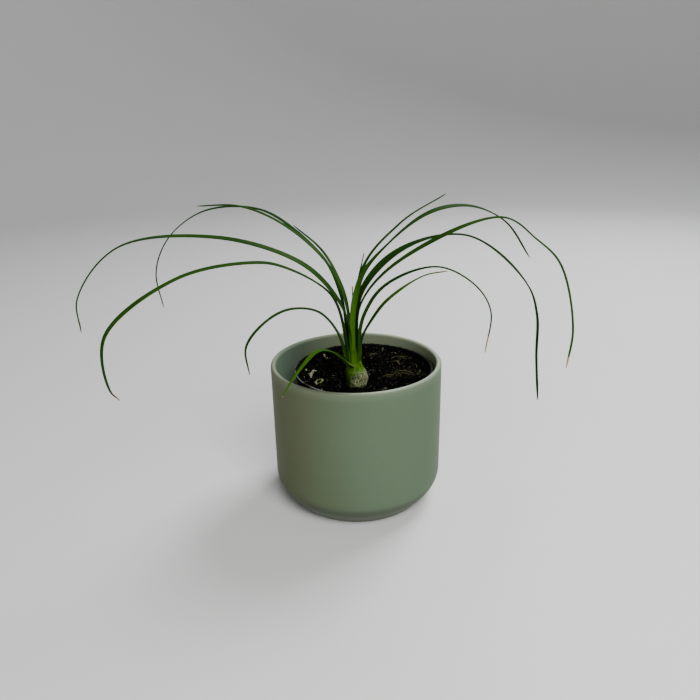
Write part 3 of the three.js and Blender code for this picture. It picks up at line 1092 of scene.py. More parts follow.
@dataclass
class NurseryPot:
    """The thin plastic pot inside, which keeps its solid and gets its finish."""

    x: float = 5.2
    y: float = -1.0
    rim_z: float = 96.5
    rim_radius: float = 48.6
    bead: float = 0.8
    foot_radius: float = 37.0
    wall: float = 1.0
    bottom: float = 5.3
    finish: BlackPlastic = field(default_factory=BlackPlastic)

    def inside(self, z: float) -> float:
        """The inner radius at a height."""
        share = (z - self.bottom) / (self.rim_z - self.bottom)
        top = self.rim_radius - self.bead
        return self.foot_radius + (top - self.foot_radius) * share - self.wall

    def places(self, reach: np.ndarray, turn: np.ndarray) -> np.ndarray:
        """Rows of x and y at distances and turns from the pot's axis."""
        return np.stack([self.x + reach * np.cos(turn), self.y + reach * np.sin(turn)], axis=1)

    def dress(self, node: bpy.types.Object) -> None:
        """Puts the plastic on the solid.

        Args:
            node: The nursery pot's solid.
        """
        node.data.materials.clear()
        node.data.materials.append(self.finish.material(self))


# ---- Soil ----------------------------------------------------------------------------------------
@dataclass(frozen=True)
class Curl:
    """A curl or sliver that lies on the soil.

    Fields:
        radius: Its radius at the middle.
        tone: 0 for brown, 1 for pale.
        hue: 0 for bark or straw, 1 for rust or moss.
        path: x, y and lift above the soil at each point.
    """

    radius: float
    tone: float
    hue: float
    path: tuple[Point, ...]


CURLS = (
    Curl(0.75, 0.70, 0.3, ((-24.2, 30.4, 0.3), (-23.4, 28.0, 0.9), (-22.8, 25.6, 0.2))),
    Curl(0.55, 0.75, 1.0, ((-22.4, 24.0, 0.3), (-21.2, 23.0, 0.8), (-21.4, 21.0, 0.3))),
    Curl(0.70, 0.80, 0.6, ((-36.2, 2.4, 0.3), (-35.6, 1.4, 0.8), (-35.2, 0.2, 0.3))),
    Curl(0.95, 0.70, 0.1, ((-28.0, -1.2, 0.9), (-30.0, -1.6, 1.3), (-31.4, -3.6, 0.9))),
    Curl(1.35, 0.62, 0.2, ((-30.6, -2.6, 0.6), (-31.8, -5.0, 1.0), (-31.6, -9.8, 0.2))),
    Curl(0.75, 0.85, 1.0, ((-27.6, -18.8, 0.4), (-27.2, -16.0, 0.9), (-24.4, -15.6, 1.0),
                           (-23.4, -18.2, 0.9), (-25.4, -20.0, 0.6), (-27.2, -19.4, 0.4))),
    Curl(0.50, 0.90, 0.0, ((-29.2, -17.4, 0.2), (-28.2, -18.6, 0.7), (-27.0, -20.6, 0.3))),
    Curl(0.34, 0.26, 0.4, ((10.8, 26.0, 0.2), (12.8, 28.4, 0.8), (14.8, 26.2, 0.3))),
    Curl(0.62, 0.17, 0.3, ((20.6, 40.0, 0.4), (21.0, 36.6, 1.1), (20.2, 33.4, 0.3))),
    Curl(0.42, 0.26, 0.3, ((29.0, 30.0, 0.3), (30.0, 28.6, 0.8), (31.4, 27.6, 0.2))),
    Curl(0.30, 0.14, 0.8, ((26.2, 19.0, 0.5), (29.4, 21.6, 0.7), (34.0, 19.4, 1.0),
                           (37.6, 16.6, 0.3))),
    Curl(0.26, 0.15, 0.5, ((31.0, 18.4, 0.3), (34.0, 20.0, 0.8), (37.4, 21.4, 0.4))),
    Curl(0.75, 0.14, 0.7, ((29.6, 15.0, 1.1), (30.2, 11.0, 1.3), (31.4, 6.4, 0.4))),
    Curl(0.36, 0.13, 1.0, ((18.6, -10.4, 0.2), (22.4, -8.4, 0.7), (26.6, -8.6, 0.5))),
    Curl(0.38, 0.13, 0.9, ((27.4, -5.4, 0.4), (32.0, -3.8, 1.1), (35.8, -4.6, 0.9),
                           (39.6, -7.4, 0.3))),
    Curl(0.30, 0.12, 1.0, ((28.0, -8.0, 0.3), (33.0, -6.6, 0.7), (37.0, -9.6, 0.3))),
    Curl(0.30, 0.22, 0.4, ((44.0, -1.0, 0.2), (45.2, -5.0, 0.9), (43.4, -9.0, 0.3))),
    Curl(0.26, 0.20, 0.4, ((41.0, 8.0, 0.2), (43.0, 5.0, 0.8), (43.4, 1.0, 0.3))),
    Curl(0.22, 0.30, 0.2, ((8.0, -2.0, 0.2), (11.0, -0.4, 0.6), (14.0, -1.0, 0.2))),
    Curl(0.24, 0.35, 0.1, ((-9.4, 24.0, 0.2), (-6.0, 26.4, 0.7), (-3.0, 25.6, 0.2))),
)

# Where short fibres lie thickest.
TUFTS = ((33.0, 19.0), (33.0, -5.5), (24.0, -9.0), (40.0, -9.0), (14.0, 27.0))


@dataclass(frozen=True)
class Bits:
    """Loose bits of one kind.

    Fields:
        count: How many there are.
        sizes: The least, the spread and the power of their skewed random radii.
        flatness: How thick one is for its width, from 0 to 1.
        lift: How far its middle stands over the ground, as a share of half its thickness.
        margin: How far they stay from the soil's edge.
    """

    count: int
    sizes: Skew
    flatness: float
    lift: float
    margin: float = 1.0


@dataclass
class SoilBed:
    """The potting mix: a crumbly top in the nursery pot and everything that lies on it.

    Each of lumps has a share of its height that shows, a cell size and a seed. Tones and hues are
    the least, the spread and the power of skewed random numbers.
    """

    pot: NurseryPot
    bulb_x: float = 0.2
    bulb_y: float = -20.0
    bulb_radius: float = 7.2
    bulb_gap: float = 0.8
    level: float = 93.2
    slope: float = 0.045
    relief: float = 0.9
    relief_size: float = 5.5
    hollow: float = 0.9
    hollow_span: float = 3.2
    drop: float = 0.7
    drop_span: float = 2.5
    lumps: tuple[Skew, ...] = ((0.55, 3.4, 11), (0.6, 1.7, 23), (0.45, 0.95, 37))
    sunk: float = 0.9
    edge_gap: float = 0.1
    bottom: float = 7.0
    bottom_gap: float = 0.3
    cells: int = 270
    seed: int = 71
    pebble_rings: int = 4
    pebble_columns: int = 7
    pebble_dent: float = 0.28
    pebble_long: Span = (0.9, 1.7)
    pebble_wide: Span = (0.6, 1.0)
    pebble_tilt: float = 0.5
    crumbs: Bits = Bits(1500, (0.28, 0.55, 2), 0.75, 0.3)
    rim_crumbs: Bits = Bits(460, (0.26, 0.42, 2), 0.75, 0.0)
    chips: Bits = Bits(170, (0.4, 0.9, 3), 0.28, 1.2, 2.0)
    grains: Bits = Bits(110, (0.08, 0.20, 3), 0.8, 1.6)
    pale_crumb: float = 0.04
    pale_crumbs_above: float = 0.86
    rim_heap: Span = (88.0, 27.0)
    rim_reach: Span = (-0.3, 3.4)
    rim_fall: float = 1.5
    rim_fall_span: float = 3.0
    rim_sunk: float = 0.25
    chip_tones: Skew = (0.0, 0.30, 7)
    chip_hues: Skew = (0.0, 0.7, 5)
    fibres: int = 150
    fibre_margin: float = 6.0
    fibre_bend: float = 0.7
    fibre_steps: Span = (0.5, 1.7)
    fibre_lifts: Span = (0.15, 0.7)
    fibre_radii: Span = (0.06, 0.14)
    fibre_tones: Skew = (0.0, 0.30, 3)
    tuft_fibres: int = 26
    tuft_spread: Span = (4.2, 2.6)
    tuft_tone: float = 0.07
    strand_steps: int = 22
    strand_sides: int = 5
    strand_lift: float = 0.25
    strand_end: float = 0.25
    strand_flatness: float = 0.5
    strand_waver: float = 0.5
    strand_knots: float = 9.0
    strand_seed: int = 3
    finish: PottingMix = field(default_factory=PottingMix)
    litter: Litter = field(default_factory=Litter)
    grit: Grit = field(default_factory=Grit)

    @property
    def edge(self) -> float:
        """The radius of the top where it meets the nursery pot."""
        return self.pot.inside(self.level) - self.edge_gap

    def height_at(self, x: np.ndarray, y: np.ndarray, fine: bool = True) -> np.ndarray:
        """The height of the top: a tilted plane, slow relief and lumps of three sizes, with a
        hollow round the swollen base and a small drop at the edge.

        Args:
            x: Places across the part.
            y: Places along the part.
            fine: Whether the lumps are added.

        Returns:
            Heights in millimetres.
        """
        u, v = x - self.pot.x, y - self.pot.y
        height = self.level + self.slope * v
        height = height + self.relief * value_noise(u / self.relief_size, v / self.relief_size)
        away = np.hypot(x - self.bulb_x, y - self.bulb_y) - self.bulb_radius
        height = height - self.hollow * np.exp(-((away / self.hollow_span) ** 2))
        outer = np.hypot(u, v) - self.edge + self.drop_span
        height = height - self.drop * ramp(outer / self.drop_span)
        if not fine:
            return height
        for share, size, seed in self.lumps:
            height = height + share * clod_noise(u, v, size, seed)
        return height - self.sunk

    def top(self) -> Patch:
        """The bed: a square grid bent into a disc, closed by a skirt and a floor. A grid point goes
        to the radius of its larger coordinate, at an angle in proportion to the smaller one.

        Returns:
            The closed surface, with the value tone.
        """
        side = np.linspace(-1, 1, self.cells + 1)
        a, b = np.meshgrid(side, side, indexing="ij")
        wide = np.abs(a) >= np.abs(b)
        reach = np.where(wide, a, b)
        with np.errstate(divide="ignore", invalid="ignore"):
            turn = np.where(wide, np.pi / 4 * b / a, np.pi / 2 - np.pi / 4 * a / b)
        turn = np.nan_to_num(turn)
        x = self.pot.x + self.edge * reach * np.cos(turn)
        y = self.pot.y + self.edge * reach * np.sin(turn)
        points = np.stack([x, y, self.height_at(x, y)], axis=-1).reshape(-1, 3)
        number = np.arange(len(points)).reshape(x.shape)
        corners = [number[:-1, :-1], number[1:, :-1], number[1:, 1:], number[:-1, 1:]]
        quads = np.stack(corners, axis=-1).reshape(-1, 4)
        rim = np.concatenate([number[:-1, 0], number[-1, :-1], number[:0:-1, -1], number[0, :0:-1]])
        centre = np.array([self.pot.x, self.pot.y])
        shrink = (self.pot.inside(self.bottom) - self.bottom_gap) / self.edge
        foot = points[rim].copy()
        foot[:, :2] = centre + (foot[:, :2] - centre) * shrink
        foot[:, 2] = self.bottom
        low = len(points) + np.arange(len(rim))
        following, low_following = np.roll(rim, -1), np.roll(low, -1)
        skirt = np.stack([low, low_following, following, rim], axis=1)
        hub = np.full(len(rim), len(points) + len(rim))
        floor = np.stack([hub, low_following, low], axis=1)
        every = np.concatenate([points, foot, [[*centre, self.bottom]]])
        return Patch(every, np.concatenate([quads, skirt]), floor, {"tone": np.zeros(len(every))})

    def scatter(self, rng: np.random.Generator, count: int, margin: float) -> np.ndarray:
        """Even random places on the bed, off the swollen base.

        Args:
            rng: The seeded source.
            count: How many to keep of twice as many drawn.
            margin: How far they stay from the edge.

        Returns:
            Rows of x and y.
        """
        turn = rng.uniform(0, 2 * np.pi, 2 * count)
        reach = (self.edge - margin) * np.sqrt(rng.uniform(0, 1, 2 * count))
        places = self.pot.places(reach, turn)
        away = np.hypot(places[:, 0] - self.bulb_x, places[:, 1] - self.bulb_y)
        return places[away > self.bulb_radius + self.bulb_gap][:count]

    def pebbles(
        self,
        rng: np.random.Generator,
        bits: Bits,
        places: np.ndarray,
        ground: np.ndarray | None = None,
    ) -> Patch:
        """Small lumps: each is a ball of a few rings whose points move in and out at random, then
        squashed, stretched, turned and set on the soil.

        Args:
            rng: The seeded source.
            bits: What kind they are.
            places: Rows of x and y.
            ground: Heights to set them on, if not the soil's.

        Returns:
            All the lumps, with the values tone and hue left for the caller.
        """
        count = len(places)
        sizes = skewed(rng, count, *bits.sizes)
        polar = np.pi * (np.arange(self.pebble_rings) + 1)[:, None] / (self.pebble_rings + 1)
        turn = 2 * np.pi * np.arange(self.pebble_columns) / self.pebble_columns
        ball = round_rings(0.0, 0.0, np.sin(polar), -np.cos(polar), turn)
        single = closed_tube(ball, np.array([0.0, 0.0, -1.0]), np.array([0.0, 0.0, 1.0]))
        size = len(single.points)
        dents = rng.uniform(-self.pebble_dent, self.pebble_dent, (count, size, 1))
        long, wide = rng.uniform(*self.pebble_long, count), rng.uniform(*self.pebble_wide, count)
        stretch = np.stack([long, wide, np.full(count, bits.flatness)], axis=1)
        lumps = single.points[None] * (1 + dents) * (stretch * sizes[:, None])[:, None, :]
        lumps = self._turned(rng, lumps, self.pebble_tilt)
        if ground is None:
            ground = self.height_at(places[:, 0], places[:, 1])
        rise = ground + sizes * bits.flatness * bits.lift
        lumps = lumps + np.concatenate([places, rise[:, None]], axis=1)[:, None, :]
        step = np.arange(count)[:, None, None] * size
        return Patch(
            lumps.reshape(-1, 3),
            (single.quads[None] + step).reshape(-1, 4),
            (single.triangles[None] + step).reshape(-1, 3),
        )

    @staticmethod
    def _turned(rng: np.random.Generator, lumps: np.ndarray, tilt: float) -> np.ndarray:
        """Turns each lump about Z by any angle, after tipping it about X by up to tilt radians."""
        spin = rng.uniform(0, 2 * np.pi, len(lumps))
        tip = rng.uniform(-tilt, tilt, len(lumps))
        one, nought = np.ones_like(spin), np.zeros_like(spin)
        about_x = np.array([
            [one, nought, nought],
            [nought, np.cos(tip), -np.sin(tip)],
            [nought, np.sin(tip), np.cos(tip)],
        ])
        about_z = np.array([
            [np.cos(spin), -np.sin(spin), nought],
            [np.sin(spin), np.cos(spin), nought],
            [nought, nought, one],
        ])
        return np.einsum("abn,bcn,npc->npa", about_z, about_x, lumps)

    @staticmethod
    def _each(values: np.ndarray, lumps: Patch) -> np.ndarray:
        """Gives every point of each lump the lump's own value."""
        return np.repeat(values, len(lumps.points) // len(values))

    def strand(self, path: np.ndarray, radius: float, tone: float, hue: float) -> Patch:
        """A thin fibre or curl: rings of a few points square to a path, tapered to its ends.

        Args:
            path: Rows of x, y and height above the soil.
            radius: The radius at its middle.
            tone: 0 for brown, 1 for pale.
            hue: 0 for bark or straw, 1 for rust or moss.

        Returns:
            The closed fibre.
        """
        line = smooth_curve(path, self.strand_steps)
        line[:, 2] += self.height_at(line[:, 0], line[:, 1], fine=False) + self.strand_lift
        along = unit_rows(np.gradient(line, axis=0))
        side = unit_rows(np.cross(along, [0.0, 0.0, 1.0]))
        rise = np.cross(side, along)
        share = np.linspace(0, 1, len(line))
        thick = self.strand_end + (1 - self.strand_end) * np.sin(np.pi * share) ** 0.5
        place = np.full_like(share, path[0, 0])
        lumpy = value_noise(share * self.strand_knots, place, self.strand_seed)
        thick = (radius * thick * (1 + self.strand_waver * lumpy))[:, None, None]
        turn = (2 * np.pi * np.arange(self.strand_sides) / self.strand_sides)[None, :, None]
        around = side[:, None] * np.cos(turn)
        around = around - self.strand_flatness * rise[:, None] * np.sin(turn)
        patch = closed_tube(line[:, None] + thick * around, line[0], line[-1])
        looks = {"tone": tone, "hue": hue}
        patch.values = {name: np.full(len(patch.points), look) for name, look in looks.items()}
        return patch

    def build(self) -> None:
        """Adds the bed in place of its solid, then crumbs, chips, curls, fibres and grit."""
        rng = np.random.default_rng(self.seed)
        peat = self.finish.material()
        add_piece("soil_bed", self.top(), peat, ("soil",))
        self._add_crumbs(rng, peat)
        self._add_litter(rng)
        self._add_grit(rng)

    def _add_crumbs(self, rng: np.random.Generator, peat: bpy.types.Material) -> None:
        """Scatters loose crumbs of peat, a few of them paler."""
        places = self.scatter(rng, self.crumbs.count, self.crumbs.margin)
        crumbs = self.pebbles(rng, self.crumbs, places)
        pale = rng.uniform(0, 1, len(places)) > self.pale_crumbs_above
        crumbs.values = {"tone": self._each(np.where(pale, self.pale_crumb, 0.0), crumbs)}
        add_piece("soil_crumbs", join([crumbs, self._rim_crumbs(rng)]), peat)

    def _rim_crumbs(self, rng: np.random.Generator) -> Patch:
        """Crumbs heaped against and over the far side of the nursery pot's rim."""
        turn = np.radians(rng.normal(*self.rim_heap, self.rim_crumbs.count))
        inward = rng.uniform(*self.rim_reach, self.rim_crumbs.count)
        places = self.pot.places(self.pot.rim_radius - inward, turn)
        ground = self.pot.rim_z - self.rim_fall * ramp(inward / self.rim_fall_span) - self.rim_sunk
        heap = self.pebbles(rng, self.rim_crumbs, places, ground)
        heap.values = {"tone": np.zeros(len(heap.points))}
        return heap

    def _add_litter(self, rng: np.random.Generator) -> None:
        """Lays bark chips, the larger curls of straw and many fine fibres."""
        places = self.scatter(rng, self.chips.count, self.chips.margin)
        chips = self.pebbles(rng, self.chips, places)
        chips.values = {
            "tone": self._each(skewed(rng, len(places), *self.chip_tones), chips),
            "hue": self._each(skewed(rng, len(places), *self.chip_hues), chips),
        }
        curls = [self.strand(np.array(c.path), c.radius, c.tone, c.hue) for c in CURLS]
        starts = self.scatter(rng, self.fibres, self.fibre_margin)
        fibres = [self._fibre(rng, start) for start in starts]
        for centre in TUFTS:
            starts = rng.normal(centre, self.tuft_spread, (self.tuft_fibres, 2))
            fibres += [self._fibre(rng, start, self.tuft_tone) for start in starts]
        litter = join([chips, *curls, *fibres])
        add_piece("soil_litter", litter, self.litter.material())

    def _fibre(self, rng: np.random.Generator, start: np.ndarray, base: float = 0.0) -> Patch:
        """One fine fibre: four points that wander from a start, its tone at least base."""
        heading = rng.uniform(0, 2 * np.pi)
        bends = heading + np.cumsum(rng.uniform(-self.fibre_bend, self.fibre_bend, 3))
        moves = rng.uniform(*self.fibre_steps) * np.stack([np.cos(bends), np.sin(bends)], axis=1)
        flat = np.concatenate([start[None], start + np.cumsum(moves, axis=0)])
        path = np.concatenate([flat, rng.uniform(*self.fibre_lifts, (4, 1))], axis=1)
        tone = base + skewed(rng, None, *self.fibre_tones)
        return self.strand(path, rng.uniform(*self.fibre_radii), tone, rng.uniform(0, 1))

    def _add_grit(self, rng: np.random.Generator) -> None:
        """Scatters pale grains."""
        places = self.scatter(rng, self.grains.count, self.grains.margin)
        grains = self.pebbles(rng, self.grains, places)
        add_piece("soil_grit", grains, self.grit.material())


# ---- Swollen base --------------------------------------------------------------------------------
@dataclass
class Caudex:
    """The swollen base: a corky bulb in the soil and a smooth neck that the leaves grow from.

    Each grain is a layer of noise: its depth, how many times it repeats round the base, its height
    in millimetres and its seed.
    """

    crown_x: float = -1.2
    crown_y: float = -20.0
    offset_x: float = 1.4
    lean_top: float = 107.0
    lean_span: float = 9.5
    tip_z: float = 113.8
    bottom_drop: float = 0.2
    columns: int = 144
    rows: int = 190
    samples: int = 400
    lump_depth: float = 0.09
    lump_twist: float = 0.7
    cork_z: float = 101.0
    cork_fade: float = 3.5
    coarse_grain: Grain = (0.22, 22, 1.9, 3)
    fine_grain: Grain = (0.14, 48, 0.8, 5)
    rib_grain: Grain = (0.07, 40, 9.0, 9)
    finish: CorkAndNeck = field(default_factory=CorkAndNeck)
    outline: tuple[tuple[float, float], ...] = (
        (1.4, 71.5), (2.2, 77.0), (3.8, 83.0), (5.6, 88.0), (6.7, 91.5), (7.3, 94.5), (7.5, 97.5),
        (7.25, 100.0), (6.75, 102.0), (6.2, 103.2), (5.55, 104.6), (5.2, 106.2), (4.8, 107.7),
        (4.2, 109.2), (3.4, 110.6), (2.4, 112.0), (1.4, 113.0),
    )

    def centre_x(self, z: np.ndarray) -> np.ndarray:
        """Where the middle lies at a height: the neck leans away from the bulb by a smooth step."""
        return self.crown_x + self.offset_x * ramp((self.lean_top - z) / self.lean_span)

    def surface(self) -> Patch:
        """The outline turned about a leaning axis, swollen by slow lumps and, on the bulb, by cork:
        two layers of noise that fade out below the neck.

        Returns:
            The closed surface.
        """
        profile, _ = even_steps(smooth_curve(np.array(self.outline), self.samples), self.rows)
        radius, z = profile[:, 0:1], profile[:, 1:2]
        turn = turns(self.columns)

        def grain(depth: float, repeats: int, height: float, seed: int) -> np.ndarray:
            """One layer of noise round the base."""
            return depth * value_noise(turn / (2 * np.pi) * repeats, z / height, seed, repeats)

        lumps = self.lump_depth * (np.sin(3 * turn + z) + np.sin(5 * turn - self.lump_twist * z))
        corky = 1 - ramp((z - self.cork_z) / self.cork_fade)
        cork = grain(*self.coarse_grain) + grain(*self.fine_grain)
        ribs = grain(*self.rib_grain) * (1 - corky)
        reach = radius + lumps * corky + cork * corky + ribs
        rings = round_rings(self.centre_x(z), self.crown_y, reach, z, turn)
        foot_x, foot_z = self.crown_x + self.offset_x, z[0, 0] - self.bottom_drop
        bottom = np.array([foot_x, self.crown_y, foot_z])
        return closed_tube(rings, bottom, np.array([self.crown_x, self.crown_y, self.tip_z]))

    def build(self) -> None:
        """Adds the base in place of its solid."""
        material = self.finish.material()
        add_piece("caudex_bulb", self.surface(), material, ("caudex",))


# ---- Leaves --------------------------------------------------------------------------------------
class Tip(Enum):
    """How a leaf ends: how long its dry tip is in millimetres, and how burnt, from 0 to 1."""

    GREEN = (1.5, 0.6)
    FADING = (0.5, 0.0)
    YELLOW = (7.5, 0.1)
    STRAW = (11.5, 0.2)
    BROWN = (7.0, 0.9)


@dataclass(frozen=True)
class Leaf:
    """One strap leaf. It leaves the crown at foot_radius in the direction foot, in degrees from +X,
    and then arches in an upright plane along heading; curve lists its reach and height.

    Fields:
        name: The solid that it stands for.
        foot: Direction of its foot.
        foot_radius: How far its foot stands from the crown's axis.
        heading: Direction of its arch.
        foot_z: Height of its foot.
        widths: Widths of the foot, the throat above it and the blade.
        taper: Width at the tip as a share of the blade.
        roll: Turn about its own length, in degrees, at even steps.
        curve: Reach and height from the foot on.
        tip: How it ends.
        youth: How fresh its green is near its foot and further out, from 0 to 1.
        bow: How far its lower part bows along X, and the distances between which that fades.
        turn: Over what distance it turns from its foot's direction to its arch's.
    """

    name: str
    foot: float
    foot_radius: float
    heading: float
    foot_z: float
    widths: tuple[float, float, float]
    taper: float
    roll: tuple[float, ...]
    curve: tuple[tuple[float, float], ...]
    tip: Tip = Tip.GREEN
    youth: tuple[float, float] = (0.2, 0.2)
    bow: tuple[float, float, float] = (0.0, 10.0, 40.0)
    turn: float = 35.0

    @property
    def outer(self) -> bool:
        """Whether it is the outermost leaf, whose wide foot clasps the neck from outside."""
        return self.widths[0] > 5

    @property
    def away(self) -> np.ndarray:
        """The level direction of its arch."""
        heading = math.radians(self.heading)
        return np.array([math.cos(heading), math.sin(heading), 0.0])


LEAVES = (
    Leaf("leaf_left_1", 112, 3.05, 142, 111.8, (2.4, 2.8, 3.6), 0.45, (0, 17, 6, -17, -28, -40),
         ((6.5, 152.5), (17.5, 171), (48, 192.5), (80.5, 203.5), (141.5, 197), (189.5, 169.5),
          (208.5, 139.5), (203.5, 111)), Tip.GREEN, (0.05, 0.10), (-1.8, 45, 75)),
    Leaf("leaf_left_2", 167, 3.05, 155, 111.8, (2.4, 2.9, 3.1), 0.52, (0, 6, 8, 0, -10, -15),
         ((2, 147), (12, 170.5), (30, 188), (56.5, 202.5), (81.5, 208.5), (114, 207)),
         Tip.GREEN, (0.35, 0.30), (0.3, 50, 80)),
    Leaf("leaf_left_3", 113, 2.05, 116, 113, (2.2, 2, 2.3), 0.49, (0, 21, 18, 4, 0, 0),
         ((7.5, 151.5), (40.5, 173.5), (98, 185.5)), Tip.GREEN, (0.30, 0.30), (-1.0, 48, 80)),
    Leaf("leaf_left_4", 224, 3.05, 193, 111.8, (2.7, 3.4, 5.3), 0.47, (0, -30, -16, -9, 5, -11),
         ((1, 136), (10.4, 157), (31.5, 179), (80, 197.5), (137.5, 195.5), (164, 167),
          (165, 146)), Tip.GREEN, (0.05, 0.24), (-0.4, 15, 45)),
    Leaf("leaf_left_5", 213, 5.3, 202, 107.9, (4.6, 3.9, 4.9), 0.53, (0, 2, -4, -6, -24, -26),
         ((0.9, 126), (10.4, 157), (41, 178.5), (60, 183), (104.5, 178.5), (148, 150),
          (150, 116.5), (145.5, 109.5)), Tip.BROWN, (0.05, 0.34), (-0.4, 15, 45)),
    Leaf("leaf_left_6", 148, 5.3, 175, 107.9, (4.6, 3.3, 4), 0.53, (0, 0, 4, -14, -34, -46),
         ((6, 128), (19, 142.5), (38, 144), (55.5, 134.5), (69.5, 116.5), (68.5, 96.5)),
         Tip.BROWN, (0.10, 0.35), (-0.6, 8, 34)),
    Leaf("leaf_left_7", 250, 6.35, 234, 104.2, (5.6, 3, 3.7), 0.30, (0, -7, -5, -8, 0, 0),
         ((3.5, 109.5), (22, 125), (37, 129), (63, 116.5), (69, 111.5)), Tip.FADING, (0.50, 0.70)),
    Leaf("leaf_right_1", 31, 2.05, 52, 113, (2.2, 2.5, 2.7), 0.49, (0, -20, -18, -12, -10, -6),
         ((6.5, 168.5), (50.5, 193), (114, 206.5)), Tip.GREEN, (0.10, 0.15), (-0.4, 25, 70)),
    Leaf("leaf_right_2", -75, 3.05, 29, 111.8, (3.3, 3.9, 5.0), 0.54, (0, -8, -5, 17, 11, 13),
         ((3, 154.5), (10.5, 172.5), (54, 201.5), (90, 204.5), (124.5, 190.5), (151, 161)),
         Tip.GREEN, (0.80, 0.20), (-2.5, 25, 80), 140.0),
    Leaf("leaf_right_3", 59, 3.05, 17, 111.8, (2.5, 3.3, 5.9), 0.47, (0, 26, -9, 24, 6, 2),
         ((5.5, 157.5), (32, 181.5), (79.5, 187), (127.5, 149.5), (138, 125), (140.5, 92),
          (145, 55.5)), Tip.GREEN, (0.05, 0.05), (-0.9, 25, 65)),
    Leaf("leaf_right_4", -21, 3.05, -10, 111.8, (2.4, 2.9, 4), 0.48, (0, 13, 27, -7, 26, 44),
         ((3, 150), (26.5, 177.5), (88.5, 205.5), (109.5, 192.5), (124.5, 177.5), (135.5, 137.5),
          (134, 110.5)), Tip.YELLOW, (0.10, 0.34), (-0.6, 30, 60)),
    Leaf("leaf_right_5", -34, 5.3, -20, 107.9, (4.6, 3.1, 4), 0.5, (0, -26, -24, -13, -15, -2),
         ((3, 142), (17, 163), (50, 177), (73, 167.5), (83.5, 152), (81.5, 124.5)),
         Tip.STRAW, (0.08, 0.12), (-1.5, 14, 46)),
    Leaf("leaf_right_6", 38, 5.3, 4, 107.9, (4.6, 2.9, 3.6), 0.46, (0, -1, 19, 17, -8, -1),
         ((3, 126), (12.5, 143), (22.5, 153), (42.5, 165), (58, 167.5)),
         Tip.BROWN, (0.25, 0.75), (-1.3, 10, 34)),
    Leaf("leaf_right_7", 128, 1.05, 72, 113.7, (1.6, 1.5, 2), 0.45, (0, 0, 0, 0, 0, 0),
         ((2, 139.5), (12, 158.5), (28, 176)), Tip.BROWN, (0.40, 0.40)),
    Leaf("leaf_centre", 238, 1.05, 81, 113.7, (1.4, 1.3, 1.5), 0.5, (0, 0, 0, 0, 0, 0),
         ((1, 137), (1, 160.5)), Tip.BROWN, (0.60, 0.60)),
)


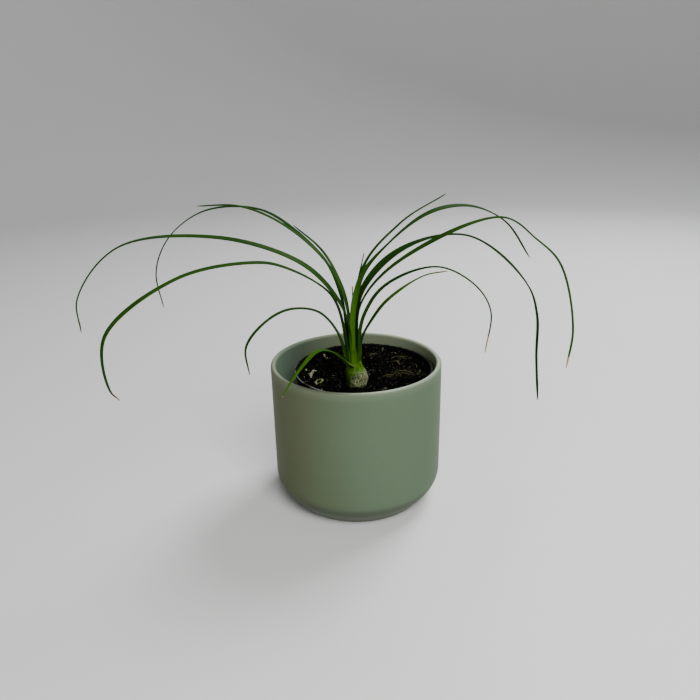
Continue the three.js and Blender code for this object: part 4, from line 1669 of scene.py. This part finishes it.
@dataclass
class Foliage:
    """All the leaves, each swept along its own arch from one set of proportions.

    Spans are distances from a leaf's foot in millimetres; shares are parts of 1.
    """

    crown: Caudex
    samples: int = 400
    station_step: float = 0.9
    across: int = 11
    thickness: float = 0.90
    edge_thickness: float = 0.58
    edge_share: float = 0.65
    foot_thickness: float = 0.25
    thicken_span: float = 9.0
    thin_span: float = 6.0
    thin_share: float = 0.45
    foot_span: float = 12.0
    widen_start: float = 15.0
    widen_span: float = 60.0
    open_span: float = 25.0
    channel_radius: float = 1.1
    taper_start: float = 0.35
    point_span: float = 14.0
    point_blunt: float = 1.0
    point_power: float = 0.6
    tip_width: float = 0.60
    tuck: float = 0.45
    outer_tuck: float = 2.25
    tuck_span: float = 7.0
    bow_share: float = 0.6
    bow_span: float = 20.0
    dry_full: float = 0.6
    dry_fade: float = 0.8
    foot_fade: float = 12.0
    young_fade: float = 0.4
    flank_shade: float = 0.62
    margin_power: int = 10
    margin: float = 0.12
    outer_margin: float = 0.9
    youth_start: float = 25.0
    youth_span: float = 45.0
    leaf_step: float = 0.013
    core_radius: float = 5.0
    core_z: float = 103.5
    core_height: float = 39.0
    core_lean: float = -1.5
    core_lean_share: float = 0.8
    core_top: float = 0.97
    core_power: float = 1.05
    core_rows: int = 70
    core_columns: int = 96
    core_fade: Span = (0.12, 0.54)
    core_vein_width: float = 3.0
    core_youth: float = 0.5
    core_leaf: float = 0.4
    finish: LeafGreen = field(default_factory=LeafGreen)

    def width(self, leaf: Leaf, distance: np.ndarray, length: float) -> np.ndarray:
        """Width along a leaf: foot to throat, throat to blade, a long taper and a short point.

        Args:
            leaf: The leaf.
            distance: Distances from its foot.
            length: Its whole length.

        Returns:
            Widths in millimetres.
        """
        foot, throat, blade = leaf.widths
        wide = foot + (throat - foot) * ramp(distance / self.foot_span)
        wide = wide + (blade - throat) * ramp((distance - self.widen_start) / self.widen_span)
        late = ramp((distance / length - self.taper_start) / (1 - self.taper_start))
        point = np.clip((length - distance + self.point_blunt) / self.point_span, 0, 1)
        wide = wide * (1 - (1 - leaf.taper) * late) * point**self.point_power
        return np.maximum(wide, self.tip_width)

    def thick(self, distance: np.ndarray, length: float, place: np.ndarray) -> np.ndarray:
        """Thickness over a leaf: most at its middle, thin at its foot and towards its tip.

        Args:
            distance: Distances from its foot.
            length: Its whole length.
            place: Places across it, from -1 to 1.

        Returns:
            Thicknesses in millimetres, one row for each distance.
        """
        rise = ramp(distance / self.thicken_span)
        body = self.foot_thickness + (self.thickness - self.foot_thickness) * rise
        late = ramp((length - distance + self.point_blunt) / self.thin_span)
        body = (body * (self.thin_share + (1 - self.thin_share) * late))[:, None]
        edge = np.minimum(self.edge_thickness, self.edge_share * body)
        return edge + (body - edge) * (1 - place**2)

    def roll(self, leaf: Leaf, share: np.ndarray) -> np.ndarray:
        """Roll in radians along a leaf, by smooth steps between its even knots."""
        knots = np.radians(np.array(leaf.roll, float))
        place = share * (len(knots) - 1)
        index = np.minimum(place.astype(int), len(knots) - 2)
        return knots[index] + (knots[index + 1] - knots[index]) * ramp(place - index)

    def spine(self, leaf: Leaf, path: np.ndarray, distance: np.ndarray) -> np.ndarray:
        """The middle line in space: the arch in its upright plane, its foot tucked in and its lower
        part bowed along X.

        Args:
            leaf: The leaf.
            path: Rows of reach and height.
            distance: Distances from its foot.

        Returns:
            The points of the line.
        """
        foot = math.radians(leaf.foot)
        outward = np.array([math.cos(foot), math.sin(foot), 0.0])
        root = np.array([self.crown.crown_x, self.crown.crown_y, 0.0]) + leaf.foot_radius * outward
        centre = root + path[:, 0:1] * leaf.away + path[:, 1:2] * UP
        tuck = self.outer_tuck if leaf.outer else self.tuck
        centre -= tuck * (1 - ramp(distance / self.tuck_span))[:, None] * outward
        size, start, end = leaf.bow
        rise = self.bow_share + (1 - self.bow_share) * ramp(distance / self.bow_span)
        centre[:, 0] += size * rise * (1 - ramp((distance - start) / (end - start)))
        return centre

    def frames(
        self, leaf: Leaf, path: np.ndarray, distance: np.ndarray
    ) -> tuple[np.ndarray, np.ndarray]:
        """Which way the blade's width and its inner face point at each distance.

        Args:
            leaf: The leaf.
            path: Rows of reach and height.
            distance: Distances from its foot.

        Returns:
            Rows of unit vectors along the width, and inward.
        """
        slope = unit_rows(np.gradient(path, axis=0))
        along = slope[:, 0:1] * leaf.away + slope[:, 1:2] * UP
        turn = (leaf.heading - leaf.foot + 180) % 360 - 180
        facing = np.radians(leaf.foot + turn * ramp(distance / leaf.turn))
        level = np.stack([-np.sin(facing), np.cos(facing), 0 * facing], axis=1)
        level = unit_rows(level - np.sum(level * along, axis=1)[:, None] * along)
        raised = np.cross(along, level)
        roll = self.roll(leaf, distance / distance[-1])[:, None]
        side = level * np.cos(roll) + raised * np.sin(roll)
        return side, raised * np.cos(roll) - level * np.sin(roll)

    def surface(self, leaf: Leaf, number: int) -> Patch:
        """A channelled strap: at each distance along the arch, an arc of a circle that starts as
        tight as the stem and opens as the leaf leaves it, thickened most at its middle.

        Args:
            leaf: The leaf.
            number: Tells its veins from the other leaves'.

        Returns:
            The closed blade with the values that its finish reads.
        """
        outline = smooth_curve(np.array([(0.0, leaf.foot_z), *leaf.curve]), self.samples)
        length = np.linalg.norm(np.diff(outline, axis=0), axis=1).sum()
        path, distance = even_steps(outline, int(length / self.station_step))
        centre = self.spine(leaf, path, distance)
        side, inward = self.frames(leaf, path, distance)
        opened = ramp(distance / self.open_span)
        tight, shallow = 1 / leaf.foot_radius, 1 / (self.channel_radius * leaf.widths[2])
        radius = (1 / (tight + (shallow - tight) * opened))[:, None]
        half = self.width(leaf, distance, length)[:, None] / 2
        sink = radius * (1 - np.cos(half / radius)) * opened[:, None] / 2
        place = np.sin(np.linspace(-np.pi / 2, np.pi / 2, self.across))[None, :]
        angle = place * half / radius

        def face(offset: np.ndarray) -> np.ndarray:
            """The arc moved outward by an offset."""
            reach = radius + offset
            wide, deep = reach * np.sin(angle), radius - reach * np.cos(angle) - sink
            blade = centre[:, None] + side[:, None] * wide[..., None]
            return blade + inward[:, None] * deep[..., None]

        thick = self.thick(distance, length, place)
        rings = np.concatenate([face(thick / 2), face(-thick / 2)[:, ::-1]], axis=1)
        patch = closed_tube(rings, rings[0].mean(axis=0), rings[-1].mean(axis=0))
        place = np.concatenate([place, place[:, ::-1]], axis=1)
        values = self._looks(leaf, distance[:, None], length, place)
        values |= {"across": place * half * MM, "leaf": number * self.leaf_step}
        patch.values = self._spread(values, rings.shape[:2])
        return patch

    def _looks(
        self, leaf: Leaf, distance: np.ndarray, length: float, place: np.ndarray
    ) -> dict[str, Any]:
        """The values that colour a leaf along its length and at its margins.

        Args:
            leaf: The leaf.
            distance: Distances from its foot, in a column.
            length: Its whole length.
            place: Places across it, from -1 to 1, in a row.

        Returns:
            Numbers, columns or grids by name.
        """
        dry, burnt = leaf.tip.value
        near, far = leaf.youth
        low = 1 - ramp(distance / (self.foot_fade * (1 + self.young_fade * near)))
        flank = 1 - self.flank_shade * math.cos(math.radians(leaf.foot)) ** 2
        clasp = self.outer_margin if leaf.outer else self.margin
        grown = ramp((distance - self.youth_start) / self.youth_span)
        to_tip = length - distance
        return {
            "along": distance * MM,
            "dry": 1 - ramp((to_tip - dry * self.dry_full) / (dry * self.dry_fade)),
            "foot": flank * low,
            "margin": np.abs(place) ** self.margin_power * low * clasp,
            "burnt": burnt,
            "youth": near + (far - near) * grown,
        }

    def core(self) -> Patch:
        """The clasped leaf bases in the middle of the crown: a ribbed cone that narrows upward by a
        power of the height, its ribs made of two waves round it.

        Returns:
            The closed surface with the values that the leaves' finish reads.
        """
        share = np.linspace(0, self.core_top, self.core_rows)[:, None]
        turn = turns(self.core_columns)
        ribs = 1 + 0.07 * np.cos(7 * turn + 0.6) + 0.05 * np.cos(12 * turn - 3 * share)
        reach = self.core_radius * (1 - share) ** self.core_power * ribs
        height = self.core_z + self.core_height * share
        middle = self.crown.crown_x + self.core_lean * ramp(share / self.core_lean_share)
        rings = round_rings(middle, self.crown.crown_y, reach, height, turn)
        patch = closed_tube(rings, *(rings[k].mean(axis=0) for k in (0, -1)))
        start, end = self.core_fade
        fade = 1 - ramp((share - start) / (end - start))
        values = {
            "across": turn * self.core_vein_width * MM,
            "along": (height - self.core_z) * MM,
            "foot": fade,
            "youth": self.core_youth * fade,
            "leaf": self.core_leaf,
        }
        values |= dict.fromkeys(("dry", "margin", "burnt"), 0.0)
        patch.values = self._spread(values, rings.shape[:2])
        return patch

    @staticmethod
    def _spread(values: dict[str, Any], shape: tuple[int, int]) -> dict[str, np.ndarray]:
        """Gives every point of a closed tube its values, the closing points those of their ring."""
        grids = {name: np.broadcast_to(value, shape) for name, value in values.items()}
        return {name: np.append(grid, grid[[0, -1], 0]) for name, grid in grids.items()}

    def build(self) -> None:
        """Adds each leaf in place of its solid, and the core that they clasp."""
        material = self.finish.material()
        add_piece("crown_core", self.core(), material)
        for number, leaf in enumerate(LEAVES):
            patch = self.surface(leaf, number)
            add_piece(leaf.name + "_blade", patch, material, (leaf.name,))


# ---- Studio --------------------------------------------------------------------------------------
@dataclass(frozen=True)
class SoftLight:
    """A soft square light: where it hangs, its side in millimetres, its power in watts and tint."""

    name: str
    place: Point
    size: float
    power: float
    tint: Colour


@dataclass
class Studio:
    """The pale sweep, the soft lights and the camera."""

    floor_radius: float = 1500.0
    sweep_radius: float = 900.0
    sweep_steps: int = 24
    wall_height: float = 1500.0
    centre_ring: float = 200.0
    columns: int = 96
    camera_place: Point = (-4.0, -427.5, 269.0)
    camera_pitch: float = 20.5
    camera_roll: float = -1.24
    camera_lens: float = 33.43
    camera_sensor: float = 36.0
    camera_clip: Span = (10.0, 20000.0)
    sky: Colour = (0.95, 0.98, 1.0)
    ambient: float = 0.17
    lit_place: Point = (0.0, 0.0, 90.0)
    lights: tuple[SoftLight, ...] = (
        SoftLight("key", (330.0, -900.0, 1000.0), 700.0, 16.4, (0.99, 1.0, 0.985)),
        SoftLight("back", (650.0, 750.0, 1150.0), 600.0, 20.5, (0.98, 0.99, 1.0)),
    )
    finish: StudioSweep = field(default_factory=StudioSweep)

    def build(self) -> None:
        """Adds the sweep, the sky, the lights and the camera."""
        self._add_sweep()
        self._add_sky()
        for light in self.lights:
            self._add_light(light)
        self._add_camera()

    def _add_sweep(self) -> None:
        """A flat disc that curves up through a quarter circle into a round wall."""
        angle = np.linspace(0, np.pi / 2, self.sweep_steps + 1)
        outward = self.floor_radius + self.sweep_radius * np.sin(angle)
        curve = np.stack([outward, self.sweep_radius * (1 - np.cos(angle))], axis=1)
        wall = [self.floor_radius + self.sweep_radius, self.wall_height]
        profile = np.vstack([[self.centre_ring, 0.0], curve, wall])
        rings = round_rings(0.0, 0.0, profile[:, 0:1], profile[:, 1:2], turns(self.columns))
        hub = np.full(self.columns, len(profile) * self.columns)
        column = np.arange(self.columns)
        disc = np.stack([hub, column, (column + 1) % self.columns], axis=1)
        quads = ring_faces(len(profile), self.columns)[:, ::-1]
        points = np.concatenate([rings.reshape(-1, 3), [[0.0, 0.0, 0.0]]])
        mesh = make_mesh("studio_sweep", Patch(points, quads, disc))
        sweep = bpy.data.objects.new("studio_sweep", mesh)
        bpy.context.scene.collection.objects.link(sweep)
        sweep.data.materials.append(self.finish.material())

    def _add_sky(self) -> None:
        """An even pale sky."""
        world = bpy.data.worlds.new("studio_sky")
        world.use_nodes = True
        background = world.node_tree.nodes["Background"]
        background.inputs["Color"].default_value = (*self.sky, 1.0)
        background.inputs["Strength"].default_value = self.ambient
        bpy.context.scene.world = world

    def _add_light(self, soft: SoftLight) -> None:
        """Hangs a light so that it faces the plant."""
        data = bpy.data.lights.new(soft.name, "AREA")
        data.size = soft.size * MM
        data.energy = soft.power
        data.color = soft.tint
        light = bpy.data.objects.new(soft.name, data)
        light.location = Vector(soft.place) * MM
        aim = Vector(self.lit_place) * MM - light.location
        light.rotation_mode = "QUATERNION"
        light.rotation_quaternion = aim.to_track_quat("-Z", "Y")
        bpy.context.scene.collection.objects.link(light)

    def _add_camera(self) -> None:
        """The camera: it looks along +Y, pitched down and rolled a little."""
        data = bpy.data.cameras.new("studio_camera")
        data.sensor_width = self.camera_sensor
        data.lens = self.camera_lens
        data.clip_start, data.clip_end = (end * MM for end in self.camera_clip)
        camera = bpy.data.objects.new("studio_camera", data)
        pitch, roll = math.radians(self.camera_pitch), math.radians(self.camera_roll)
        ahead = Vector((0.0, math.cos(pitch), -math.sin(pitch)))
        level = Vector((1.0, 0.0, 0.0))
        upright = level.cross(ahead)
        right = level * math.cos(roll) + upright * math.sin(roll)
        above = upright * math.cos(roll) - level * math.sin(roll)
        turned = Matrix((right, above, -ahead)).transposed().to_4x4()
        camera.matrix_world = Matrix.Translation(Vector(self.camera_place) * MM) @ turned
        bpy.context.scene.collection.objects.link(camera)
        bpy.context.scene.camera = camera


def main() -> None:
    """Builds the pots, the soil, the plant and the studio."""
    logging.basicConfig(level=logging.INFO)
    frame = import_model()
    nursery = NurseryPot()
    caudex = Caudex()
    CoverPot().build()
    nursery.dress(frame["nodes"]["nursery_pot"])
    SoilBed(nursery).build()
    caudex.build()
    Foliage(caudex).build()
    Studio().build()


if __name__ == "__main__":
    main()
